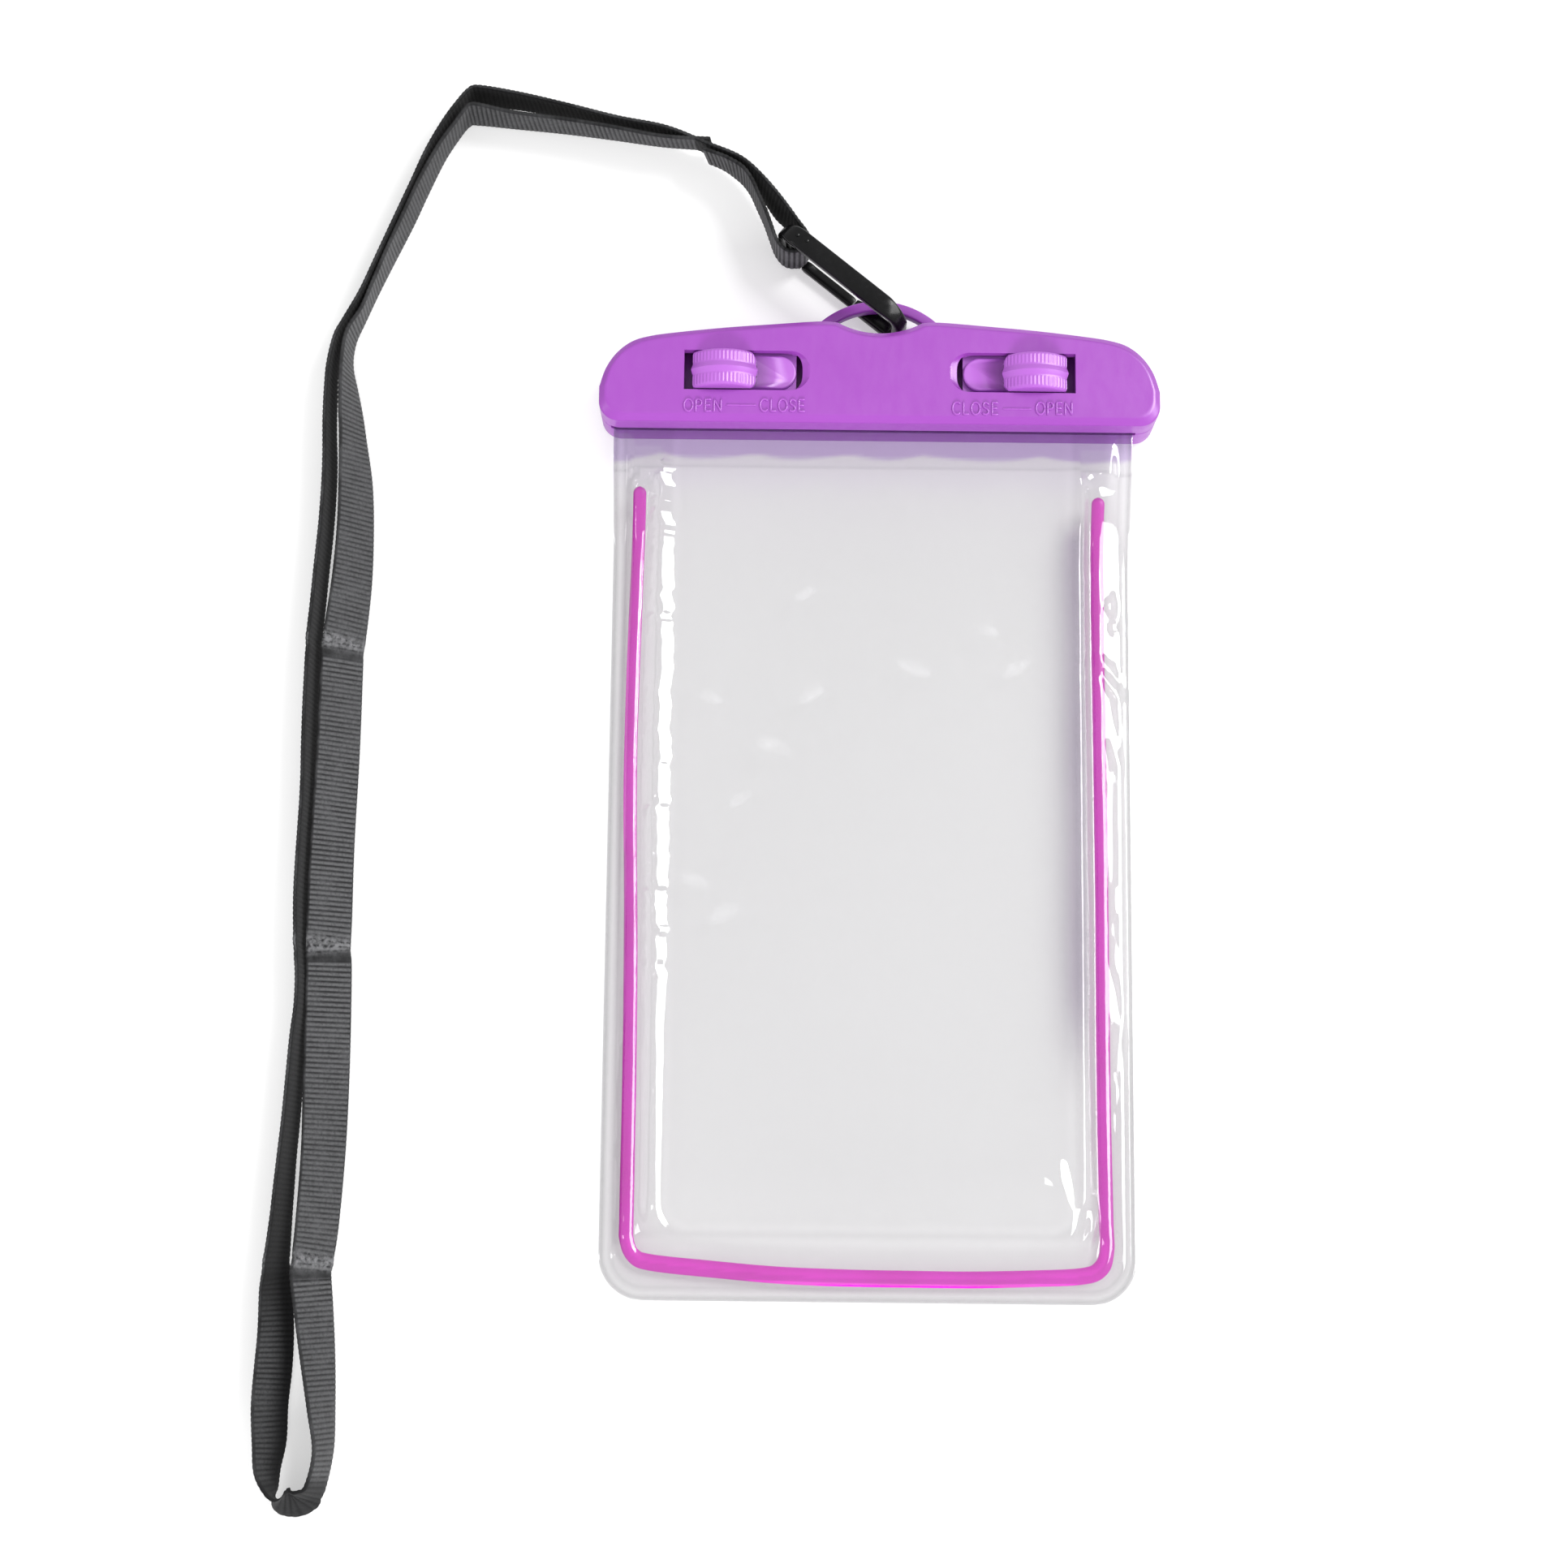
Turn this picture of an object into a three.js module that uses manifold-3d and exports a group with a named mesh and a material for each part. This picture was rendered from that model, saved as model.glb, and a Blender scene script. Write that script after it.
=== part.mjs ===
// Waterproof phone pouch with a two-jaw clamp closure, two sliding locks,
// a welded clear film bag, a soft U-shaped bead, a snap clip and a flat
// webbing neck strap. Millimetres, +Z up, +Y towards the clamp, lying flat.
import * as THREE from 'three';
import { mergeVertices } from 'three/addons/utils/BufferGeometryUtils.js';
import Module from 'manifold-3d';

const wasm = await Module();
wasm.setup();

// ---------------------------------------------------------------- dimensions
const HALF_W = 57.5;            // clamp half width
const CLAMP_Y0 = 74.0;          // clamp lower edge
const REAR_Z = [0.0, 7.6];      // rear jaw thickness
const FRONT_Z = [7.9, 14.4];    // front jaw thickness
const EDGE = 1.3;               // bevel around the front face
const NOTCH = { r: 17.8, cy: 111.1, half: 8.6 };      // dip over the strap eyelet
const EYELET = { cy: 84.8, ro: 18.2, ri: 15.9, z0: 3.1, z1: 5.9 };
const FILM_T = 0.35;            // film thickness
const FILM_IN = 78.2;           // how far the film reaches into the clamp
const FILM_X = [-54.6, 52.4];   // bag side edges
const BAG_Y0 = -103.0;          // bag bottom edge
const PANEL = { x0: -42.0, x1: 39.5, y0: -89.2, y1: 64.5, h: 5.3 };
const SLOT = { x0: 14.2, x1: 40.1, y0: 80.5, y1: 88.9 };
const POCKET = { x0: 5.0, x1: 40.9, y0: 79.2, y1: 90.3, z1: 12.3 };
const TONGUE = { x0: 17.1, y0: 81.2, y1: 88.2, z1: 13.2 };
const KNOB = { x0: 25.4, x1: 38.3, y0: 80.85, y1: 88.55, cx: 31.9, cz: 8.9, r: 8.3 };
const FLANGE = { x0: 17.1, x1: 38.3, y0: 79.7, y1: 89.8, z0: 9.8, z1: 12.0 };
const POST = { x0: 21.0, x1: 25.0, y0: 82.6, y1: 86.6, z1: 11.5 };
const STRAP_W = 10.0;           // webbing width
const STRAP_T = 0.9;            // webbing thickness
const CLIP = { len: 33.0, zl: 1.45, zu: 14.3, bar: 2.3, wide: 2.7, nose: 3.0, shank: 4.1, r: 5.6 };

// ------------------------------------------------------------------ helpers
function toManifold(g) {
  const b = g.index ? g.clone() : g.clone();
  for (const n of Object.keys(b.attributes)) if (n !== 'position') b.deleteAttribute(n);
  const m = mergeVertices(b, 1e-4);
  return new wasm.Manifold(new wasm.Mesh({
    numProp: 3,
    vertProperties: new Float32Array(m.attributes.position.array),
    triVerts: new Uint32Array(m.index.array),
  }));
}
function fromManifold(man) {
  const m = man.getMesh();
  const g = new THREE.BufferGeometry();
  g.setAttribute('position', new THREE.BufferAttribute(new Float32Array(m.vertProperties), 3));
  g.setIndex(new THREE.BufferAttribute(new Uint32Array(m.triVerts), 1));
  return g;
}
function box(x0, x1, y0, y1, z0, z1) {
  const g = new THREE.BoxGeometry(x1 - x0, y1 - y0, z1 - z0);
  g.translate((x0 + x1) / 2, (y0 + y1) / 2, (z0 + z1) / 2);
  return toManifold(g);
}
function prism(points, z0, z1) {
  const s = new THREE.Shape(points.map(([x, y]) => new THREE.Vector2(x, y)));
  const g = new THREE.ExtrudeGeometry(s, { depth: z1 - z0, bevelEnabled: false, steps: 1 });
  g.translate(0, 0, z0);
  return toManifold(g);
}
// closed solid through a stack of equal-count rings
function loft(rings) {
  const n = rings[0].length, pos = [], idx = [];
  for (const r of rings) for (const p of r) pos.push(p[0], p[1], p[2]);
  for (let k = 0; k + 1 < rings.length; k++)
    for (let i = 0; i < n; i++) {
      const a = k * n + i, b = k * n + (i + 1) % n, c = a + n, d = b + n;
      idx.push(a, b, d, a, d, c);
    }
  const cap = (k, flip) => {
    for (let i = 1; i + 1 < n; i++) {
      const a = k * n, b = k * n + i, c = k * n + i + 1;
      flip ? idx.push(a, c, b) : idx.push(a, b, c);
    }
  };
  cap(0, true);
  cap(rings.length - 1, false);
  const g = new THREE.BufferGeometry();
  g.setAttribute('position', new THREE.BufferAttribute(new Float32Array(pos), 3));
  g.setIndex(idx);
  return g;
}
function signedVolume(g) {
  const p = g.attributes.position, ix = g.index;
  const a = new THREE.Vector3(), b = new THREE.Vector3(), c = new THREE.Vector3();
  let v = 0;
  for (let i = 0; i < ix.count; i += 3) {
    a.fromBufferAttribute(p, ix.getX(i));
    b.fromBufferAttribute(p, ix.getX(i + 1));
    c.fromBufferAttribute(p, ix.getX(i + 2));
    v += a.dot(b.cross(c)) / 6;
  }
  return v;
}
function outward(g) {
  if (signedVolume(g) < 0) {
    const a = g.index.array;
    for (let i = 0; i < a.length; i += 3) { const t = a[i]; a[i] = a[i + 1]; a[i + 1] = t; }
  }
  return g;
}
const smooth = (t) => { t = Math.min(1, Math.max(0, t)); return t * t * (3 - 2 * t); };
const arc = (cx, cy, r, a0, a1, n) => Array.from({ length: n + 1 }, (_, i) => {
  const a = (a0 + (a1 - a0) * i / n) * Math.PI / 180;
  return [cx + r * Math.cos(a), cy + r * Math.sin(a)];
});

// -------------------------------------------------------------- clamp outline
// Half of the outline from the middle of the top edge to the lower corner.
function clampOutline(inset) {
  const w = HALF_W - inset, y0 = CLAMP_Y0 + inset, t = -inset;
  const right = [];
  const a0 = Math.asin(NOTCH.half / NOTCH.r);
  for (let i = 0; i <= 5; i++) {
    const a = a0 * i / 5;
    right.push([(NOTCH.r + inset) * Math.sin(a), NOTCH.cy - (NOTCH.r + inset) * Math.cos(a)]);
  }
  right.push([12.4, 95.75 + t], [22.4, 95.0 + t], [32.4, 94.15 + t], [42.4, 93.0 + t]);
  right.push([47.4 - inset * 0.2, 92.2 + t], [51.0 - inset * 0.6, 91.0 + t * 0.9],
    [54.0 - inset * 0.7, 88.6 + t * 0.6], [56.2 - inset * 0.9, 85.3 + t * 0.3], [w, 81.3]);
  for (const p of arc(w - 4.2, y0 + 4.2, 4.2, 0, -90, 5)) right.push(p);
  const out = right.slice().reverse();         // lower corner first, up to the middle
  const left = right.slice(1).map(([x, y]) => [-x, y]);
  const ring = [...out, ...left];              // runs counter-clockwise
  return ring;
}
function plate(z0, z1, lowBevel, topBevel) {
  const rings = [];
  const at = (inset, z) => clampOutline(inset).map(([x, y]) => [x, y, z]);
  if (lowBevel) rings.push(at(lowBevel, z0), at(0, z0 + lowBevel));
  else rings.push(at(0, z0));
  if (topBevel) rings.push(at(0, z1 - topBevel), at(topBevel, z1));
  else rings.push(at(0, z1));
  // capped through a shape so that the concave notch is filled properly
  const n = rings[0].length, pos = [], idx = [];
  for (const r of rings) for (const p of r) pos.push(...p);
  for (let k = 0; k + 1 < rings.length; k++)
    for (let i = 0; i < n; i++) {
      const a = k * n + i, b = k * n + (i + 1) % n;
      idx.push(a, b, b + n, a, b + n, a + n);
    }
  const tri = (ring) => THREE.ShapeUtils.triangulateShape(ring.map(p => new THREE.Vector2(p[0], p[1])), []);
  for (const [a, b, c] of tri(rings[0])) idx.push(a, c, b);
  const o = (rings.length - 1) * n;
  for (const [a, b, c] of tri(rings[rings.length - 1])) idx.push(o + a, o + b, o + c);
  const g = new THREE.BufferGeometry();
  g.setAttribute('position', new THREE.BufferAttribute(new Float32Array(pos), 3));
  g.setIndex(idx);
  return toManifold(outward(g));
}

// ------------------------------------------------------------------ rear jaw
function rearJaw() {
  let m = plate(REAR_Z[0], REAR_Z[1], 0.8, 0);
  // eyelet: a flat arch over the notch, its feet buried in the jaw
  const outer = arc(0, EYELET.cy, EYELET.ro, 31, 149, 26);
  const inner = arc(0, EYELET.cy, EYELET.ri, 149, 31, 26);
  m = m.add(prism([...outer, ...inner], EYELET.z0, EYELET.z1));
  // relief for the film mouth
  m = m.subtract(box(FILM_X[0] - 0.6, FILM_X[1] + 0.6, CLAMP_Y0 - 1, FILM_IN + 0.4, 6.85, 9));
  // one plain post for each lock
  for (const s of [-1, 1]) {
    const x = [s * POST.x0, s * POST.x1].sort((a, b) => a - b);
    m = m.add(box(x[0], x[1], POST.y0, POST.y1, REAR_Z[1] - 1, POST.z1));
  }
  return fromManifold(m);
}

// ----------------------------------------------------------------- front jaw
function slotOutline(s, endX, r, y0, y1, outerX, power = 2) {
  // rounded at the inner end (an ellipse, or squarer with a higher power), square at the outer end
  const cy = (y0 + y1) / 2, cx = endX + r;
  const pts = [];
  const pw = (v) => Math.sign(v) * Math.pow(Math.abs(v), 2 / power);
  for (let i = 0; i <= 12; i++) {
    const a = (90 + 180 * i / 12) * Math.PI / 180;
    pts.push([cx + r * pw(Math.cos(a)), cy + (y1 - y0) / 2 * pw(Math.sin(a))]);
  }
  pts.push([outerX, y0], [outerX, y1]);
  const ring = pts.map(([x, y]) => [s * x, y]);
  return s > 0 ? ring : ring.reverse();
}
function frontJaw() {
  let m = plate(FRONT_Z[0], FRONT_Z[1], 0, EDGE);
  m = m.subtract(box(FILM_X[0] - 0.6, FILM_X[1] + 0.6, CLAMP_Y0 - 1, FILM_IN + 0.4, 7, 8.5));
  for (const s of [-1, 1]) {
    const bx = (a, b, ...r) => { const x = [s * a, s * b].sort((p, q) => p - q); return box(x[0], x[1], ...r); };
    // pocket for the flange, open towards the rear jaw
    m = m.subtract(bx(POCKET.x0, POCKET.x1, POCKET.y0, POCKET.y1, 7, POCKET.z1));
    // channel that the tongue slides into, under the face
    m = m.subtract(bx(POCKET.x0, SLOT.x1, TONGUE.y0 - 0.3, TONGUE.y1 + 0.3, POCKET.z1 - 0.5, TONGUE.z1 + 0.3));
    // slot through the face, with a ramp at its inner end
    const top = slotOutline(s, SLOT.x0, 4.2, SLOT.y0, SLOT.y1, SLOT.x1).map(p => [...p, FRONT_Z[1] + 0.01]);
    const mid = slotOutline(s, SLOT.x0 + 1.3, 3.9, SLOT.y0, SLOT.y1, SLOT.x1, 2.5).map(p => [...p, 13.65]);
    const low = slotOutline(s, SLOT.x0 + 2.0, 3.8, SLOT.y0, SLOT.y1, SLOT.x1, 3).map(p => [...p, 13.35]);
    const through = slotOutline(s, SLOT.x0 + 2.0, 3.8, SLOT.y0, SLOT.y1, SLOT.x1, 3).map(p => [...p, 12.0]);
    m = m.subtract(toManifold(outward(loft([through, low, mid, top]))));
  }
  return fromManifold(m);
}

// --------------------------------------------------------------- lock slider
function slider(s) {
  const bx = (a, b, ...r) => { const x = [s * a, s * b].sort((p, q) => p - q); return box(x[0], x[1], ...r); };
  let m = bx(FLANGE.x0, FLANGE.x1, FLANGE.y0, FLANGE.y1, FLANGE.z0, FLANGE.z1);
  // tongue with a rounded inner end
  const cy = (TONGUE.y0 + TONGUE.y1) / 2, r = (TONGUE.y1 - TONGUE.y0) / 2;
  let t = slotOutline(s, TONGUE.x0, r, TONGUE.y0, TONGUE.y1, FLANGE.x1 - 0.5);
  m = m.add(prism(t, FLANGE.z1 - 0.4, TONGUE.z1));
  // domed thumb knob, its crown running along the slide
  const knobCuts = [];
  const pts = [[KNOB.x0, 11.6]];
  const from = Math.acos((KNOB.x0 - KNOB.cx) / KNOB.r), to = Math.acos((KNOB.x1 - KNOB.cx) / KNOB.r);
  for (let i = 0; i <= 16; i++) {
    const a = from + (to - from) * i / 16;
    pts.push([KNOB.cx + KNOB.r * Math.cos(a), KNOB.cz + KNOB.r * Math.sin(a)]);
  }
  pts.push([KNOB.x1, 11.6]);
  const shape = new THREE.Shape(pts.map(([x, z]) => new THREE.Vector2(s * x, z)));
  const g = new THREE.ExtrudeGeometry(shape, { depth: KNOB.y1 - KNOB.y0, bevelEnabled: false, steps: 1 });
  g.rotateX(Math.PI / 2);
  g.translate(0, KNOB.y1, 0);
  // its two inner corners are cut back, to pass into the slot's rounded end
  const c = KNOB.x0 - 0.1;
  for (const [ya, yb] of [[KNOB.y1 - 1.25, KNOB.y1 + 0.01], [KNOB.y0 + 1.25, KNOB.y0 - 0.01]]) {
    const tri = [[s * c, ya], [s * (c + 1.35), yb], [s * c, yb]];
    const turn = (tri[1][0] - tri[0][0]) * (tri[2][1] - tri[0][1]) - (tri[1][1] - tri[0][1]) * (tri[2][0] - tri[0][0]);
    knobCuts.push(prism(turn > 0 ? tri : tri.reverse(), 11, 19));
  }
  let knob = toManifold(g);
  for (const k of knobCuts) knob = knob.subtract(k);
  m = m.add(knob);
  // raised middle rib around the crown
  const rib = [[KNOB.x0 + 0.6, 12.4]];
  for (let i = 0; i <= 16; i++) {
    const a = from + (to - from) * i / 16;
    rib.push([Math.min(KNOB.x1 - 0.01, KNOB.cx + (KNOB.r + 0.45) * Math.cos(a)), KNOB.cz + (KNOB.r + 0.45) * Math.sin(a)]);
  }
  rib.push([KNOB.x1 - 0.01, 12.4]);
  const rs = new THREE.Shape(rib.map(([x, z]) => new THREE.Vector2(s * x, z)));
  const rg = new THREE.ExtrudeGeometry(rs, { depth: 1.6, bevelEnabled: false, steps: 1 });
  rg.rotateX(Math.PI / 2);
  rg.translate(0, cy + 0.8, 0);
  m = m.add(toManifold(rg));
  // long blind groove that passes over the post
  m = m.subtract(bx(POST.x0 - 0.6, POST.x1 + 11.9, POST.y0 - 0.9, POST.y1 + 0.9, 9, 12.1));
  return fromManifold(m);
}

// -------------------------------------------------------------------- films
// Rise of the bag from the surface up to the clamp mouth.
const rise = (y) => 7.15 * smooth((y - 47) / (CLAMP_Y0 - 0.4 - 47));
// Width of the bag at a height y (rounded lower corners).
function edgesAt(y) {
  const r = 9.0, d = y - BAG_Y0;
  const cut = d < r ? r - Math.sqrt(Math.max(0, r * r - (r - d) * (r - d))) : 0;
  return [FILM_X[0] + cut, FILM_X[1] - cut];
}
// distance inside the welded rim
function rim(x, y) {
  const [a, b] = edgesAt(y);
  return Math.min(x - a, b - x, y - BAG_Y0);
}
function frontZ(x, y) {
  const k = 1 - smooth((y - 62) / (CLAMP_Y0 - 0.6 - 62));
  const bead = 2.2 * smooth((rim(x, y) - 0.6) / 2.4);
  const px = Math.min(x - PANEL.x0, PANEL.x1 - x), py = Math.min(y - PANEL.y0, PANEL.y1 + 6 - y);
  const p = (PANEL.h - 2.2) * smooth((Math.min(px, py) + 4.2) / 4.6);
  return rise(y) + 0.65 + k * (bead + p);
}
function film(zf, rows, cols) {
  const bot = [], n = cols.length;
  const xl = -41.4, xr = 38.8;      // columns outside these follow the rounded corners
  for (const y of rows) {
    const [a, b] = edgesAt(y);
    bot.push(cols.map(c => {
      if (c < xl) return [a + (c - FILM_X[0]) * (xl - a) / (xl - FILM_X[0]), y];
      if (c > xr) return [b - (FILM_X[1] - c) * (b - xr) / (FILM_X[1] - xr), y];
      return [c, y];
    }));
  }
  const pos = [], idx = [];
  const R = rows.length;
  for (const lay of [0, 1])
    for (let i = 0; i < R; i++)
      for (let j = 0; j < n; j++) {
        const [x, y] = bot[i][j];
        pos.push(x, y, zf(x, y) + lay * FILM_T);
      }
  const id = (l, i, j) => l * R * n + i * n + j;
  for (let i = 0; i + 1 < R; i++)
    for (let j = 0; j + 1 < n; j++) {
      idx.push(id(1, i, j), id(1, i, j + 1), id(1, i + 1, j + 1), id(1, i, j), id(1, i + 1, j + 1), id(1, i + 1, j));
      idx.push(id(0, i, j), id(0, i + 1, j + 1), id(0, i, j + 1), id(0, i, j), id(0, i + 1, j), id(0, i + 1, j + 1));
    }
  const wall = (a, b, c, d) => idx.push(a, b, c, a, c, d);
  for (let j = 0; j + 1 < n; j++) {
    wall(id(0, 0, j), id(0, 0, j + 1), id(1, 0, j + 1), id(1, 0, j));
    wall(id(0, R - 1, j + 1), id(0, R - 1, j), id(1, R - 1, j), id(1, R - 1, j + 1));
  }
  for (let i = 0; i + 1 < R; i++) {
    wall(id(0, i + 1, 0), id(0, i, 0), id(1, i, 0), id(1, i + 1, 0));
    wall(id(0, i, n - 1), id(0, i + 1, n - 1), id(1, i + 1, n - 1), id(1, i, n - 1));
  }
  const g = new THREE.BufferGeometry();
  g.setAttribute('position', new THREE.BufferAttribute(new Float32Array(pos), 3));
  g.setIndex(idx);
  return outward(g);
}
const ROWS_END = [BAG_Y0, BAG_Y0 + 0.5, BAG_Y0 + 1.4, BAG_Y0 + 2.8, BAG_Y0 + 5.5, BAG_Y0 + 9];
const ROWS_BACK = [...ROWS_END, -60, 0, 47, 51, 54.5, 58, 61.5, 65, 68, 71, 73.6, FILM_IN];
const ROWS_FRONT = [...ROWS_END, -91.6, -89.6, -87, -60, -30, 0, 30, 47, 51, 54.5, 58, 61.5, 64.5, 66.5, 68.5, 71, 73.6, FILM_IN];
const COLS_BACK = [FILM_X[0], -54.0, -52.8, -50.0, -45.8, -20, 10, 43.5, 47.8, 50.6, 51.8, FILM_X[1]];
const COLS_FRONT = [FILM_X[0], -54.0, -52.8, -51.2, -48.0, -46.0, -44.4, -43.0, -41.4, -20, 10, 38.8, 40.4, 41.8, 43.5, 45.8, 49.0, 50.6, 51.8, FILM_X[1]];

// --------------------------------------------------------------------- bead
const BEAD = [[-49.1, 62.2], [-49.2, 57.5], [-49.3, 54], [-49.4, 50.5], [-49.5, 47], [-49.6, 42], [-50.0, 22], [-50.1, 0], [-49.4, -30], [-49.1, -57], [-49.1, -86],
  [-49.0, -91.0], [-47.6, -94.2], [-44.0, -95.6], [-31.5, -96.8], [-18.6, -97.8], [-5.8, -98.2], [7.1, -98.3], [19.9, -98.3], [32.8, -97.9],
  [41.2, -97.4], [44.8, -96.1], [46.3, -92.6], [46.2, -85], [45.9, -57], [45.9, -19], [45.7, 10], [45.5, 34], [45.5, 42], [45.5, 47], [45.5, 50.5], [45.5, 54], [45.5, 57], [45.5, 61.0]];
function tubeRings(points, section) {
  const rings = [];
  for (let i = 0; i < points.length; i++) {
    const p = new THREE.Vector3(...points[i].p);
    const a = new THREE.Vector3(...points[Math.max(0, i - 1)].p), b = new THREE.Vector3(...points[Math.min(points.length - 1, i + 1)].p);
    const t = b.clone().sub(a).normalize();
    const u = new THREE.Vector3(...points[i].u);
    u.sub(t.clone().multiplyScalar(u.dot(t))).normalize();
    const v = new THREE.Vector3().crossVectors(t, u);
    rings.push(section(i, points.length).map(([su, sv]) => {
      const q = p.clone().addScaledVector(u, su).addScaledVector(v, sv);
      return [q.x, q.y, q.z];
    }));
  }
  return rings;
}
const ring8 = (a, b) => [0, 45, 90, 135, 180, 225, 270, 315].map(d => [a * Math.cos(d * Math.PI / 180), b * Math.sin(d * Math.PI / 180)]);
function bead() {
  const pts = BEAD.map(([x, y]) => ({ p: [x, y, 1.65 + rise(y) * (y > 47 ? 1 : 0)], u: [0, 0, 1] }));
  const rings = tubeRings(pts, (i, n) => {
    const k = i === 0 || i === n - 1 ? 0.55 : 1;
    const y = BEAD[i][1];
    const w = y < -94 ? 1.65 : 1.3;
    return ring8(0.9 * k, w * k);
  });
  return outward(loft(rings));
}

// --------------------------------------------------------------------- clip
// Plan line of the clip: straight from its nose to the eye.
const CLIP_H = [5.0, 95.5];
const CLIP_TURN = 141.0 * Math.PI / 180;
function clipPlan(s) {
  const c = Math.cos(CLIP_TURN), d = Math.sin(CLIP_TURN);
  return { x: CLIP_H[0] + c * s, y: CLIP_H[1] + d * s, nx: d, ny: -c };
}
const clipPoint = (s, z) => { const c = clipPlan(s); return { p: [c.x, c.y, z], u: [c.nx, c.ny, 0] }; };
function clipRingPath() {
  // in (s, z): nose tip, hook end, upper shank, eye, gate root
  const c = CLIP, k = c.bar / 2, out = [];
  const s0 = k, s1 = c.len - k, r = c.r - k;
  out.push([12.8, c.zl], [9.5, c.zl], [s0 + r, c.zl]);
  for (const a of [240, 210, 180]) out.push([s0 + r + r * Math.cos(a * Math.PI / 180), c.zl + r + r * Math.sin(a * Math.PI / 180)]);
  for (const a of [180, 150, 120, 90]) out.push([s0 + r + r * Math.cos(a * Math.PI / 180), c.zu - r + r * Math.sin(a * Math.PI / 180)]);
  out.push([10, c.zu], [14, c.zu], [18, c.zu], [21, c.zu], [24, c.zu]);
  for (const a of [90, 60, 30, 0]) out.push([s1 - r + r * Math.cos(a * Math.PI / 180), c.zu - r + r * Math.sin(a * Math.PI / 180)]);
  for (const a of [0, -30, -60]) out.push([s1 - r + r * Math.cos(a * Math.PI / 180), c.zl + r + r * Math.sin(a * Math.PI / 180)]);
  out.push([s1 - r, c.zl], [26.9, c.zl]);
  return out;
}
const rect8 = (a, b, c) => [[a, b - c], [a - c, b], [-a + c, b], [-a, b - c], [-a, -b + c], [-a + c, -b], [a - c, -b], [a, -b + c]];
function clipBody() {
  const path = clipRingPath();
  const pts = path.map(([s, z]) => clipPoint(s, z));
  return outward(loft(tubeRings(pts, (i) => {
    const [s, z] = path[i];
    const up = smooth((z - 8) / 4.5) * smooth((s - 1) / 5) * smooth((32.2 - s) / 3);
    const wide = THREE.MathUtils.lerp(s < 12 ? CLIP.nose : CLIP.wide, CLIP.shank, up);
    const w = z < 10 && s > 25 ? 2.4 : wide;
    return rect8(w / 2, CLIP.bar / 2, 0.5);
  })));
}
function clipGate() {
  const pts = [];
  for (const s of [26.5, 24, 21, 18, 15.5, 13.15]) pts.push(clipPoint(s, CLIP.zl));
  return outward(loft(tubeRings(pts, (i) => rect8(1.15, i === 0 ? 1.0 : 0.8, 0.3))));
}

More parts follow.
